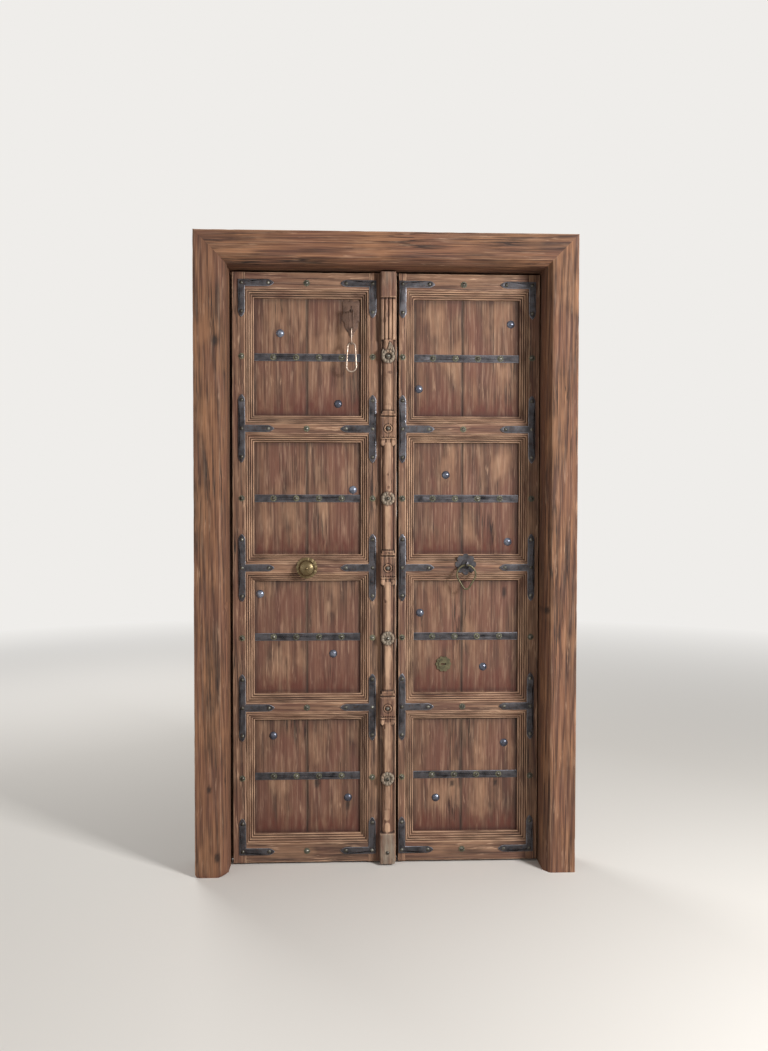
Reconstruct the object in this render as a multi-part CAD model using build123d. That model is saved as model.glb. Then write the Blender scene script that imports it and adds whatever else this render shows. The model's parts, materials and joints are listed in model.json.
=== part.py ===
from build123d import *
import math
import os
from dataclasses import dataclass

# A pair of old panelled door leaves, studded with iron, hung in a mitred timber frame.
# Sizes are in millimetres. Z is up and the front of the door faces -Y.
# The origin is on the floor, in the middle of the frame's width and of the whole depth.

# Frame timbers
frame_face_width = 88
frame_bevel_width = 20
frame_bevel_depth = 28
frame_arris = 4
reveal_depth = 110
rebate_lap = 12
rebate_clearance = 2
tongue_length = 70
tongue_width = 60
tongue_thickness = 14
tongue_setback = 60
mitre_angle = 45
jamb_notch_height = 26
jamb_notch_depth = 9
jamb_notch_bottom = 902
worn_foot_radius = 12
worn_foot_depth = 45

# Gaps round the leaves
floor_gap = 8
top_gap = 7
left_gap = 10
right_gap = 4
swing_clearance = 0.4

# Leaves: flats are the plain faces between an edge and a moulding
panel_width = 370
moulding_width = 28
left_hanging_flat = 45
left_meeting_flat = 96
right_meeting_flat = 26
right_hanging_flat = 39
top_rail_flat = 57
middle_rail_flat = 36
bottom_rail_flat = 68
lowest_panel_height = 402
third_panel_height = 396
second_panel_height = 390
top_panel_height = 405
stile_thickness = 27
plank_thickness = 18
backing_thickness = 20
left_plank_joint = 183
right_plank_joint = 171
plank_chamfer = 1.5

# Ribbed moulding that steps down from the flats to the panels
moulding_ribs = 4
moulding_quirk = 1.6
moulding_quirk_depth = 3
moulding_edge_height = 8
moulding_rib_rise = 2.4

# Iron straps
strap_width = 24
strap_thickness = 3
strap_margin = 1
strap_half_height = 118
strap_arm = 124
strap_point = 26
strap_shoulder_length = 16
strap_shoulder_width = 17
panel_strap_height = 26
panel_strap_thickness = 3
panel_strap_end_gap = 1
top_strap_drop = 36
bottom_strap_rise = 39

# Nails and their washers
nail_head_radius = 7
nail_head_height = 4.5
nail_shank_radius = 1.9
nail_length = 38
nail_tip = 4
nail_hole_clearance = 0.15
nail_end_inset = 20
panel_nails = 4
panel_nail_pitch = 79
washer_radius = 11.5
washer_thickness = 2
washer_points = 8
washer_notch = 0.8
strip_nail_length = 54

# Coach bolts, with a washer and a nut behind the leaf
bolt_head_radius = 14
bolt_head_height = 7
bolt_radius = 5
bolt_hole_clearance = 0.3
bolt_tail = 3
nut_across_flats = 17
nut_thickness = 7
bolt_washer_radius = 13
bolt_washer_thickness = 2

# Carved strip that covers the meeting stile
strip_width = 52
strip_base = 9
strip_bar_height = 25
strip_bead_width = 7
strip_bead_rise = 2.5
strip_block_height = 27
strip_cap_height = 30
strip_reeds = 4
strip_reed_base = 15
strip_reed_rise = 5
strip_top_block = 88
strip_reeded_length = 142
strip_block_length = 120
strip_bottom_block = 105
strip_cap_length = 15
strip_groove = 3
strip_petals_across = 3
strip_petal_length = 24
strip_petal_height = 22
rosette_radius = 24
rosette_rim = 4
rosette_petals = 8
rosette_petal_radius = 6.5
rosette_petal_ring = 13
leaf_carving_length = 44
leaf_carving_width = 26

# Both sides of the carved leaf: start, middle and end of an arc, across as shares of half the
# leaf's width and up as shares of its length
leaf_carving_sides = [
    ((-1, 0), (-0.8, 0.6), (0.4, 1)),
    ((0.4, 1), (1.5, 0.4), (1, 0)),
]

# Brass knob
knob_rose_radius = 32
knob_rose_petals = 12
knob_rose_petal_radius = 8
knob_rose_petal_ring = 29
knob_rose_thickness = 3
knob_rose_steps = 2
knob_rose_step_width = 4
knob_rose_step_rise = 1
knob_foot_radius = 14
knob_neck_radius = 10
knob_neck_height = 4
knob_collar_radius = 13
knob_collar_height = 2
knob_radius = 28
knob_projection = 42
knob_tip_radius = 5
knob_tip_shoulder = 4
knob_tip_height = 2
knob_stud_radius = 4
knob_stud_length = 50

# Latch chain
chain_plate_width = 62
chain_plate_height = 122
chain_plate_thickness = 2.5
chain_plate_top_gap = 5
chain_plate_side_gap = 2
chain_plate_crest = 7.3
chain_hang_depth = 46
staple_drop = 38
staple_wire = 2.8
staple_eye_radius = 8
staple_length = 30
link_gap = 0.4
hook_link_wire = 2.8
hook_link_width = 18
hook_link_height = 72
oblong_link_wire = 2.2
oblong_link_width = 16
oblong_link_height = 62
end_link_wire = 3
end_link_width = 40
end_link_height = 104
end_link_top_radius = 13

# Right side of the chain plate from its top: start, middle and end of each arc, across as shares
# of half the width and down as shares of the height
chain_plate_sides = [
    ((0.34, 0), (0.7, 0.05), (1, 0)),
    ((1, 0), (0.94, -0.22), (1, -0.4)),
    ((1, -0.4), (0.97, -0.5), (0.72, -0.56)),
    ((0.72, -0.56), (0.66, -0.72), (0.3, -0.84)),
    ((0.3, -0.84), (0.2, -0.93), (0, -1)),
]

# Ring pull and slotted rosette on the right leaf
ring_plate_radius = 28
ring_plate_petals = 8
ring_plate_petal_radius = 11
ring_plate_petal_ring = 26
ring_plate_thickness = 3
ring_dome_radius = 16
ring_dome_height = 8
ring_eye_radius = 8
ring_eye_wire = 3
ring_stud_length = 32
ring_projection = 19
ring_wire = 3
ring_drop = 90
ring_top_radius = 32.5
ring_foot_radius = 12
ring_boss_offset = 10
ring_boss_rise = 12
slot_rosette_radius = 22
slot_rosette_petals = 10
slot_rosette_petal_radius = 7.5
slot_rosette_petal_ring = 20
slot_rosette_thickness = 4
slot_rosette_rise = 7
slot_rosette_boss_radius = 16.5
slot_length = 20
slot_height = 6
slot_rosette_from_left = 107
slot_rosette_above_middle = -98

# Surface hinges on the back
hinge_height = 110
hinge_plate_width = 34
hinge_plate_thickness = 3
hinge_end_inset = 220
hinge_knuckles = 5
hinge_knuckle_radius = 5.8
hinge_knuckle_gap = 0.4
hinge_pin_radius = 3
hinge_pin_clearance = 0.08
hinge_pin_head_radius = 4.6
hinge_pin_head_height = 2.5
hinge_pin_offset = 6.3
hinge_screws_per_plate = 4
hinge_screw_near_margin = 8.8
hinge_screw_far_margin = 6.6
hinge_screw_radius = 2.2
hinge_screw_head_radius = 4.4
hinge_screw_length = 21
hinge_screw_clearance = 0.12

# How far a cut reaches past the faces that it goes through
overcut = 1

# Levels from the floor up
panel_heights = [
    lowest_panel_height,
    third_panel_height,
    second_panel_height,
    top_panel_height,
]
rail_flats = [bottom_rail_flat] + [middle_rail_flat] * (len(panel_heights) - 1) + [top_rail_flat]
leaf_height = sum(panel_heights) + sum(rail_flats) + 2 * len(panel_heights) * moulding_width
leaf_top = floor_gap + leaf_height
opening_height = leaf_top + top_gap
frame_timber = frame_face_width + frame_bevel_width
frame_height = opening_height + frame_timber

# Levels from the front of the frame to the back
frame_depth = reveal_depth + stile_thickness + plank_thickness + backing_thickness
hinge_projection = hinge_pin_offset + hinge_knuckle_radius
bolt_projection = bolt_washer_thickness + nut_thickness + bolt_tail
front_y = -(frame_depth + max(hinge_projection, bolt_projection)) / 2
face_y = front_y + reveal_depth
panel_y = face_y + stile_thickness
plank_back_y = panel_y + plank_thickness
back_y = plank_back_y + backing_thickness
pin_y = back_y + hinge_pin_offset

# Widths, with the meeting edges set back so that each leaf swings past the other
left_leaf_width = left_hanging_flat + panel_width + 2 * moulding_width + left_meeting_flat
right_leaf_width = right_meeting_flat + panel_width + 2 * moulding_width + right_hanging_flat
rebate_width = rebate_lap + rebate_clearance
pin_to_opening = rebate_lap + rebate_clearance / 2
left_reach = pin_to_opening + left_gap + left_leaf_width
right_reach = pin_to_opening + right_gap + right_leaf_width
face_to_pin = pin_y - face_y
plank_to_pin = pin_y - panel_y


def swing_rise(reach, depth):
    """How far a corner moves past its resting place as its leaf swings."""
    return math.hypot(reach, depth) - reach


meeting_gap = swing_rise(min(left_reach, right_reach), plank_to_pin) + swing_clearance


def stile_inset(reach):
    """How far a stile's meeting edge stays behind the edge of its planks."""
    return max(0, swing_rise(reach, face_to_pin) - meeting_gap + swing_clearance)


left_inset = stile_inset(left_reach)
right_inset = stile_inset(right_reach)
front_gap = left_inset + meeting_gap + right_inset
opening_width = left_gap + left_leaf_width + front_gap + right_leaf_width + right_gap
half_opening = opening_width / 2
half_frame = half_opening + frame_timber
pin_x = half_opening + pin_to_opening

strip_swing = math.hypot(left_reach, face_to_pin)
strip_reach = math.sqrt(strip_swing**2 - (face_to_pin + strip_cap_height) ** 2)
strip_inset = left_reach - strip_reach


@dataclass
class Leaf:
    """One door leaf: its edges at the face, its flats and what is set out on its panels."""

    name: str
    x0: float
    x1: float
    left_flat: float
    right_flat: float
    hangs_left: bool
    plank_joint: float
    bolts: list

    @property
    def panel_x0(self):
        return self.x0 + self.left_flat + moulding_width

    @property
    def panel_x1(self):
        return self.x1 - self.right_flat - moulding_width

    @property
    def joint_x(self):
        return self.panel_x0 + self.plank_joint

    @property
    def plank_x0(self):
        return self.x0 if self.hangs_left else self.x0 - right_inset

    @property
    def plank_x1(self):
        return self.x1 + left_inset if self.hangs_left else self.x1

    @property
    def strap_xs(self):
        """Centre lines of the upright straps, left and right."""
        left = self.x0 + self.left_flat - strap_margin - strap_width / 2
        right = self.x1 - self.right_flat + strap_margin + strap_width / 2
        return left, right


# Coach bolts: panel counted from the floor, distance from the panel's left side (or, when
# negative, from its right side) and height above the panel's middle
left_bolts = [
    (3, 90, 83),
    (3, -79, -160),
    (2, -27, 30),
    (1, 19, 151),
    (1, -96, -60),
    (0, 64, 143),
    (0, -44, -79),
]
right_bolts = [
    (3, -30, 121),
    (3, 17, -107),
    (2, 113, 83),
    (2, -37, -152),
    (1, 23, 83),
    (1, -123, -109),
    (0, -47, 111),
    (0, 81, -83),
]

left_x0 = -half_opening + left_gap
left_leaf = Leaf(
    "left_leaf",
    left_x0,
    left_x0 + left_leaf_width,
    left_hanging_flat,
    left_meeting_flat,
    True,
    left_plank_joint,
    left_bolts,
)
right_x1 = half_opening - right_gap
right_leaf = Leaf(
    "right_leaf",
    right_x1 - right_leaf_width,
    right_x1,
    right_meeting_flat,
    right_hanging_flat,
    False,
    right_plank_joint,
    right_bolts,
)


def rail_levels():
    """Bottom and top of each rail's flat, from the floor up."""
    levels = []
    z = floor_gap
    for rail, flat in enumerate(rail_flats):
        levels.append((z, z + flat))
        if rail < len(panel_heights):
            z += flat + panel_heights[rail] + 2 * moulding_width
    return levels


rails = rail_levels()
panels = [
    (low[1] + moulding_width, high[0] - moulding_width)
    for low, high in zip(rails, rails[1:])
]
panel_middles = [(z0 + z1) / 2 for z0, z1 in panels]
strap_levels = (
    [floor_gap + bottom_strap_rise]
    + [(z0 + z1) / 2 for z0, z1 in rails[1:-1]]
    + [leaf_top - top_strap_drop]
)


def block(x0, x1, y0, y1, z0, z1):
    """A plain box between two corners."""
    middle = Pos((x0 + x1) / 2, (y0 + y1) / 2, (z0 + z1) / 2)
    return middle * Box(x1 - x0, y1 - y0, z1 - z0)


def front_plane(x, y, z):
    """A drawing plane seen from the front: its own x is X, its y is Z and it faces the viewer."""
    return Plane(origin=(x, y, z), x_dir=(1, 0, 0), z_dir=(0, -1, 0))


def raised(sketch, x, y, z, thickness):
    """A sketch drawn in X and Z, raised from y towards the viewer."""
    return extrude(front_plane(x, y, z) * sketch, amount=thickness)


def outline(points):
    """A flat face inside a closed run of straight lines."""
    return make_face(Polyline(*points, close=True))


def turned(points, domed=False):
    """A turned piece about Y from (radius, y) points; domed closes it with a part of a sphere."""
    edges = Polyline(*points)
    if domed:
        edges += dome_arc(points[-1], points[0])
    else:
        edges += Line(points[-1], points[0])
    return revolve(make_face(edges), Axis.Y)


def dome_arc(rim, crown):
    """Arc from the rim of a head to its crown on the axis, round a centre on the axis."""
    radius = rim[0]
    height = rim[1] - crown[1]
    sphere = (radius**2 + height**2) / (2 * height)
    half_angle = math.atan2(radius, sphere - height) / 2
    middle = (sphere * math.sin(half_angle), crown[1] + sphere * (1 - math.cos(half_angle)))
    return ThreePointArc(rim, middle, crown)


def rod(start, end, radius):
    """A round rod between two points."""
    direction = Vector(*end) - Vector(*start)
    plane = Plane(origin=start, z_dir=direction)
    return extrude(plane * Circle(radius), amount=direction.length)


def drilled(piece, spots, y0, y1, radius):
    """A piece with round holes along Y at the (x, z) spots that lie on it."""
    box = piece.bounding_box()
    holes = [
        rod((x, y0, z), (x, y1, z), radius)
        for x, z in spots
        if box.min.X - radius < x < box.max.X + radius and box.min.Z < z < box.max.Z
    ]
    return piece - holes if holes else piece


def group(solids):
    """Separate solids kept together in one node."""
    return Compound(solids)


def save(piece, name):
    """Write one node."""
    export_step(piece, f"parts/{name}.step")


# Frame

def frame_section():
    """Section of a frame timber: x from its outer side to the opening, y from front to back."""
    rebate_y = frame_depth - backing_thickness - rebate_clearance / 2
    rounding = frame_arris * (1 - math.sqrt(0.5))
    sides = Polyline(
        (frame_arris, 0),
        (frame_face_width, 0),
        (frame_timber, frame_bevel_depth),
        (frame_timber, rebate_y),
        (frame_timber - rebate_width, rebate_y),
        (frame_timber - rebate_width, frame_depth),
        (0, frame_depth),
        (0, frame_arris),
    )
    arris = ThreePointArc((0, frame_arris), (rounding, rounding), (frame_arris, 0))
    return make_face(sides + arris)


def mitre_waste(x_outer, side):
    """The wedge above the mitre of a jamb whose outer side is at x_outer."""
    over = frame_arris
    low = (x_outer - side * over, frame_height + over)
    high = (x_outer + side * (frame_timber + over), frame_height - frame_timber - over)
    corner = (x_outer + side * (frame_timber + over), frame_height + over)
    wedge = make_face(Polyline(low, high, corner, close=True))
    return raised(wedge, 0, front_y + frame_depth + over, 0, frame_depth + 2 * over)


def corner_tongue(side):
    """Loose tongue across a mitred corner."""
    middle = half_frame - frame_timber / 2
    face = Rot(0, 0, side * mitre_angle) * Rectangle(tongue_length, tongue_width)
    y_back = front_y + tongue_setback + tongue_thickness
    return raised(face, side * middle, y_back, frame_height - frame_timber / 2, tongue_thickness)


def jamb_notch():
    """A piece broken out of the inner edge of the left jamb."""
    edge_x = -half_opening
    edge_y = front_y + frame_bevel_depth
    points = [
        (edge_x - jamb_notch_depth, edge_y - jamb_notch_depth / 2),
        (edge_x + overcut, edge_y - jamb_notch_depth),
        (edge_x + overcut, edge_y + jamb_notch_depth),
    ]
    cut = extrude(outline(points), amount=jamb_notch_height)
    return Pos(0, 0, jamb_notch_bottom) * cut


def worn_foot():
    """Wear that rounds both lower corners at the front of the left jamb's foot."""
    r = worn_foot_radius
    bend = r * (1 - math.sqrt(0.5))
    depth = worn_foot_depth + overcut
    pieces = []
    for x, side in ((-half_frame, 1), (-half_opening, -1)):
        past = -side * overcut
        edges = Polyline((0, r), (past, r), (past, -overcut), (side * r, -overcut), (side * r, 0))
        edges += ThreePointArc((side * r, 0), (side * bend, bend), (0, r))
        pieces.append(raised(make_face(edges), x, front_y + worn_foot_depth, 0, depth))
    return pieces


def jamb(side):
    """One jamb: side is -1 for the left and 1 for the right."""
    section = Pos(-half_frame, front_y, 0) * frame_section()
    piece = extrude(section, amount=frame_height)
    if side > 0:
        piece = mirror(piece, about=Plane.YZ)
    piece -= mitre_waste(side * half_frame, -side)
    piece -= corner_tongue(side)
    if side < 0:
        piece = piece - jamb_notch() - worn_foot()
    hole = hinge_screw_radius + nail_hole_clearance
    spots = hinge_screw_spots(side, True)
    return drilled(piece, spots, back_y - hinge_screw_length, back_y + overcut, hole)


def head():
    """The head, mitred at both ends."""
    plane = Plane(origin=(-half_frame, front_y, frame_height), x_dir=(0, 0, -1), z_dir=(1, 0, 0))
    piece = extrude(plane * frame_section(), amount=2 * half_frame)
    for side in (-1, 1):
        over = frame_arris
        corner = (side * (half_frame + over), frame_height + over)
        inner_x = side * (half_frame - frame_timber - over)
        inner = (inner_x, frame_height - frame_timber - over)
        below = (corner[0], inner[1])
        waste = make_face(Polyline(corner, inner, below, close=True))
        piece -= raised(waste, 0, back_y + over, 0, frame_depth + 2 * over)
        piece -= corner_tongue(side)
    return piece


# Hinges

def hinge_levels():
    """Middle heights of the three hinges."""
    low = floor_gap + hinge_end_inset
    high = leaf_top - hinge_end_inset
    return [low, (low + high) / 2, high]


def hinge_side(side, on_frame):
    """Direction from the pin to the plate: away from the opening for the frame's plate."""
    return side if on_frame else -side


def hinge_screw_spots(side, on_frame):
    """Screw centres of one hanging side as (x, z)."""
    away = hinge_side(side, on_frame)
    near = hinge_knuckle_radius + hinge_screw_near_margin
    far = hinge_plate_width - hinge_screw_far_margin
    pitch = hinge_height / hinge_screws_per_plate
    spots = []
    for level in hinge_levels():
        lowest = level - (hinge_height - pitch) / 2
        for row in range(hinge_screws_per_plate):
            reach = near if row % 2 else far
            spots.append((side * pin_x + away * reach, lowest + row * pitch))
    return spots


def hinge_plate(side, on_frame, level):
    """One hinge plate with its knuckles, bored for the pin and the screws."""
    away = hinge_side(side, on_frame)
    axis_x = side * pin_x
    top = back_y + hinge_plate_thickness
    clear = hinge_knuckle_radius + hinge_knuckle_gap
    xs = sorted((axis_x + away * clear, axis_x + away * hinge_plate_width))
    piece = block(xs[0], xs[1], back_y, top, level - hinge_height / 2, level + hinge_height / 2)
    pitch = hinge_height / hinge_knuckles
    first = 0 if on_frame else 1
    for knuckle in range(first, hinge_knuckles, 2):
        z0 = level - hinge_height / 2 + knuckle * pitch + hinge_knuckle_gap / 2
        z1 = z0 + pitch - hinge_knuckle_gap
        web = sorted((axis_x, axis_x + away * (clear + overcut)))
        piece += rod((axis_x, pin_y, z0), (axis_x, pin_y, z1), hinge_knuckle_radius)
        piece += block(web[0], web[1], back_y + hinge_pin_offset - hinge_knuckle_radius, top, z0, z1)
    bore = hinge_pin_radius + hinge_pin_clearance
    low = level - hinge_height
    piece -= rod((axis_x, pin_y, low), (axis_x, pin_y, level + hinge_height), bore)
    for x, z in hinge_screw_spots(side, on_frame):
        if abs(z - level) < hinge_height / 2:
            piece -= Pos(x, 0, z) * hinge_screw(hinge_screw_clearance)
    return piece


def hinge_screw(grow=0):
    """Countersunk screw driven from the back; grow makes the same shape as a clearance cut."""
    top = back_y + hinge_plate_thickness
    head = hinge_screw_head_radius + grow
    shank = hinge_screw_radius + grow
    cone = hinge_screw_head_radius - hinge_screw_radius
    if grow:
        low, high = back_y - overcut, top + overcut
        return turned([(0, low), (shank, low), (shank, top - cone), (head, top), (head, high), (0, high)])
    tip = top - hinge_screw_length
    return turned([(0, tip), (shank, tip + shank), (shank, top - cone), (head, top), (0, top)])


def hinge_pin(side, level):
    """Pin with a flat head on top of the knuckles."""
    axis_x = side * pin_x
    z1 = level + hinge_height / 2
    pin = rod((axis_x, pin_y, level - hinge_height / 2), (axis_x, pin_y, z1), hinge_pin_radius)
    head_top = z1 + hinge_pin_head_height
    return pin + rod((axis_x, pin_y, z1), (axis_x, pin_y, head_top), hinge_pin_head_radius)


# Joinery of a leaf

def moulding_section():
    """Ribbed section: x runs from the flat to the panel, y is the height above the panel."""
    pitch = moulding_width / moulding_ribs
    top = stile_thickness - moulding_quirk_depth
    drop = (top - moulding_edge_height) / (moulding_ribs - 1)
    edges = Line((0, 0), (0, top))
    for rib in range(moulding_ribs):
        height = top - rib * drop
        start = rib * pitch
        crown = start + moulding_quirk
        end = start + pitch
        middle = ((crown + end) / 2, height + moulding_rib_rise)
        edges += Line((start, height), (crown, height))
        edges += ThreePointArc((crown, height), middle, (end, height))
        below = height - drop if rib < moulding_ribs - 1 else 0
        edges += Line((end, height), (end, below))
    edges += Line((moulding_width, 0), (0, 0))
    return make_face(edges)


def moulding(leaf, panel, towards):
    """Moulding on one side of a panel, mitred; towards is the (x, z) direction to the panel."""
    x0, x1 = leaf.panel_x0, leaf.panel_x1
    z0, z1 = panels[panel]
    m = moulding_width
    inner = [(x0, z0), (x1, z0), (x1, z1), (x0, z1)]
    outer = [(x0 - m, z0 - m), (x1 + m, z0 - m), (x1 + m, z1 + m), (x0 - m, z1 + m)]
    side = {(1, 0): (3, 0), (-1, 0): (1, 2), (0, 1): (0, 1), (0, -1): (2, 3)}[towards]
    corners = [outer[side[0]], outer[side[1]], inner[side[1]], inner[side[0]]]
    mask = raised(outline(corners), 0, panel_y + overcut, 0, stile_thickness + 2 * overcut)
    middle = ((corners[0][0] + corners[1][0]) / 2, panel_y, (corners[0][1] + corners[1][1]) / 2)
    along = Vector(towards[0], 0, towards[1])
    plane = Plane(origin=middle, x_dir=along, z_dir=along.cross(Vector(0, -1, 0)))
    length = math.dist(corners[0], corners[1])
    bar = extrude(plane * moulding_section(), amount=length / 2 + overcut, both=True)
    return bar & mask


def stile(leaf, at_left):
    """A stile with its share of the mouldings."""
    if at_left:
        x0, x1, towards = leaf.x0, leaf.x0 + leaf.left_flat, (1, 0)
    else:
        x0, x1, towards = leaf.x1 - leaf.right_flat, leaf.x1, (-1, 0)
    piece = block(x0, x1, face_y, panel_y, floor_gap, leaf_top)
    for panel in range(len(panels)):
        piece += moulding(leaf, panel, towards)
    return piece


def rail(leaf, number):
    """A rail between the stiles, with the mouldings above and below it."""
    z0, z1 = rails[number]
    x0 = leaf.panel_x0 - moulding_width
    x1 = leaf.panel_x1 + moulding_width
    piece = block(x0, x1, face_y, panel_y, z0, z1)
    if number > 0:
        piece += moulding(leaf, number - 1, (0, -1))
    if number < len(panels):
        piece += moulding(leaf, number, (0, 1))
    return piece


def plank(leaf, at_left):
    """One of the two full-height planks, with a chamfer along the joint between them."""
    x0 = leaf.plank_x0 if at_left else leaf.joint_x
    x1 = leaf.joint_x if at_left else leaf.plank_x1
    c = plank_chamfer
    back = [(x1, plank_back_y), (x0, plank_back_y)]
    if at_left:
        points = [(x0, panel_y), (x1 - c, panel_y), (x1, panel_y + c)] + back
    else:
        points = [(x0 + c, panel_y), (x1, panel_y)] + back + [(x0, panel_y + c)]
    return Pos(0, 0, floor_gap) * extrude(outline(points), amount=leaf_height)


def backing(leaf):
    """Board behind the planks, which laps into the rebate of the frame."""
    x0 = -half_opening - rebate_lap if leaf.hangs_left else leaf.plank_x0
    x1 = leaf.plank_x1 if leaf.hangs_left else half_opening + rebate_lap
    return block(x0, x1, plank_back_y, back_y, floor_gap, opening_height + rebate_lap)


# Iron straps

def spear(length, width):
    """A strap end from the origin along x, which narrows in two curves to a point."""
    neck = length - strap_point
    half = width / 2
    shoulder_x = neck + strap_shoulder_length
    shoulder = strap_shoulder_width / 2
    edges = Polyline((neck, half), (0, half), (0, -half), (neck, -half))
    edges += ThreePointArc((neck, -half), (shoulder_x, -shoulder), (length, 0))
    edges += ThreePointArc((length, 0), (shoulder_x, shoulder), (neck, half))
    return make_face(edges)


def strap(x, z, arm_direction, up, down):
    """An L or T strap on a stile and a rail."""
    arm_turn = 0 if arm_direction > 0 else 180
    sketch = Rot(0, 0, arm_turn) * spear(strap_arm - strap_width / 2, strap_width)
    if up:
        sketch += Rot(0, 0, 90) * spear(strap_half_height, strap_width)
    if down:
        sketch += Rot(0, 0, -90) * spear(strap_half_height, strap_width)
    if not (up and down):
        sketch += Rectangle(strap_width, strap_width)
    return raised(sketch, x, face_y, z, strap_thickness)


def strap_reaches(level):
    """Whether the strap at a level runs up and down."""
    return level < len(strap_levels) - 1, level > 0


def leaf_straps(leaf, at_left):
    """The corner and T straps of one stile."""
    x = leaf.strap_xs[0 if at_left else 1]
    direction = 1 if at_left else -1
    pieces = []
    for level, z in enumerate(strap_levels):
        up, down = strap_reaches(level)
        pieces.append(strap(x, z, direction, up, down))
    return pieces


def strap_nail_spots(leaf):
    """Nails of the corner and T straps as (x, z)."""
    spots = []
    for x, direction in zip(leaf.strap_xs, (1, -1)):
        for level, z in enumerate(strap_levels):
            up, down = strap_reaches(level)
            end = strap_half_height - nail_end_inset
            arm = strap_arm - strap_width / 2 - nail_end_inset
            spots += [(x, z), (x + direction * arm, z)]
            spots += [(x, z + end)] if up else []
            spots += [(x, z - end)] if down else []
    return spots


def wood_nail_spots(leaf):
    """Nails with washers on the stiles and in the middle of the rails."""
    spots = [(x, z) for x in leaf.strap_xs for z in panel_middles]
    knob_rail = len(rails) // 2
    spots += [(leaf.joint_x, z) for level, z in enumerate(strap_levels) if level != knob_rail]
    return spots


def panel_nail_spots(leaf):
    """Nails with washers on the panel straps."""
    middle = (leaf.panel_x0 + leaf.panel_x1) / 2
    first = middle - (panel_nails - 1) * panel_nail_pitch / 2
    xs = [first + nail_number * panel_nail_pitch for nail_number in range(panel_nails)]
    return [(x, z) for z in panel_middles for x in xs]


def panel_straps(leaf):
    """A flat iron strap across the middle of each panel."""
    half = panel_strap_height / 2
    x0 = leaf.panel_x0 + panel_strap_end_gap
    x1 = leaf.panel_x1 - panel_strap_end_gap
    front = panel_y - panel_strap_thickness
    return [block(x0, x1, front, panel_y, z - half, z + half) for z in panel_middles]


def nail(length):
    """Round-headed nail with the underside of its head at y = 0."""
    points = [
        (0, -nail_head_height),
        (0, length),
        (nail_shank_radius, length - nail_tip),
        (nail_shank_radius, 0),
        (nail_head_radius, 0),
    ]
    return turned(points, domed=True)


def washer():
    """Eight-pointed rosette washer with its back at y = 0."""
    star = []
    for corner in range(2 * washer_points):
        reach = washer_radius * (washer_notch if corner % 2 else 1)
        turn = math.pi * corner / washer_points
        star.append((reach * math.cos(turn), reach * math.sin(turn)))
    piece = raised(outline(star), 0, 0, 0, washer_thickness)
    hole = nail_shank_radius + nail_hole_clearance
    return piece - rod((0, overcut, 0), (0, -washer_thickness - overcut, 0), hole)


def copies(piece, spots, y):
    """The same piece at several (x, z) spots."""
    return [Pos(x, y, z) * piece for x, z in spots]


def nail_seats(leaf):
    """Every nail of a leaf as spots and the level under its head."""
    strap_face = face_y - strap_thickness
    panel_strap_face = panel_y - panel_strap_thickness
    return [
        (strap_nail_spots(leaf), strap_face),
        (wood_nail_spots(leaf), face_y - washer_thickness),
        (panel_nail_spots(leaf), panel_strap_face - washer_thickness),
    ]


def leaf_nails(leaf):
    """All nails of a leaf."""
    one = nail(nail_length)
    return [piece for spots, y in nail_seats(leaf) for piece in copies(one, spots, y)]


def leaf_washers(leaf):
    """The rosette washers under the nails on bare wood and on the panel straps."""
    one = washer()
    on_wood = copies(one, wood_nail_spots(leaf), face_y)
    return on_wood + copies(one, panel_nail_spots(leaf), panel_y - panel_strap_thickness)


def nailed(leaf, piece):
    """A piece with the holes of the leaf's nails."""
    hole = nail_shank_radius + nail_hole_clearance
    for spots, y in nail_seats(leaf):
        piece = drilled(piece, spots, y, y + nail_length + nail_hole_clearance, hole)
    return piece


# Coach bolts

def bolt_spots(leaf):
    """Coach bolts of a leaf as (x, z)."""
    spots = []
    for panel, across, rise in leaf.bolts:
        edge = leaf.panel_x0 if across > 0 else leaf.panel_x1
        spots.append((edge + across, panel_middles[panel] + rise))
    return spots


def coach_bolt():
    """Domed bolt with the underside of its head at y = 0."""
    length = back_y - panel_y + bolt_projection
    shank = [(0, length), (bolt_radius, length), (bolt_radius, 0)]
    return turned([(0, -bolt_head_height)] + shank + [(bolt_head_radius, 0)], domed=True)


def bolt_washer():
    """Plain washer with its front at y = 0."""
    ring = rod((0, 0, 0), (0, bolt_washer_thickness, 0), bolt_washer_radius)
    hole = bolt_radius + bolt_hole_clearance
    return ring - rod((0, -overcut, 0), (0, bolt_washer_thickness + overcut, 0), hole)


def nut():
    """Hexagon nut with its front at y = 0."""
    hexagon = RegularPolygon(nut_across_flats / 2, 6, major_radius=False)
    piece = raised(hexagon, 0, nut_thickness, 0, nut_thickness)
    hole = bolt_radius + nail_hole_clearance
    return piece - rod((0, -overcut, 0), (0, nut_thickness + overcut, 0), hole)


def bolted(leaf, piece):
    """A piece with the holes of the leaf's coach bolts."""
    hole = bolt_radius + bolt_hole_clearance
    return drilled(piece, bolt_spots(leaf), panel_y - overcut, back_y + overcut, hole)


# Carved cover strip

strip_x0 = left_leaf.x1 - strip_inset - strip_width
strip_middle = strip_x0 + strip_width / 2


def strip_bar():
    """Half-round bar between two beads, the whole height of the leaf."""
    bead = strip_bead_width
    w = strip_width
    edges = Polyline((w, strip_base), (w, 0), (0, 0), (0, strip_base))
    edges += ThreePointArc((0, strip_base), (bead / 2, strip_base + strip_bead_rise), (bead, strip_base))
    edges += ThreePointArc((bead, strip_base), (w / 2, strip_bar_height), (w - bead, strip_base))
    last_crown = (w - bead / 2, strip_base + strip_bead_rise)
    edges += ThreePointArc((w - bead, strip_base), last_crown, (w, strip_base))
    return strip_section(make_face(edges), floor_gap, leaf_top)


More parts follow.
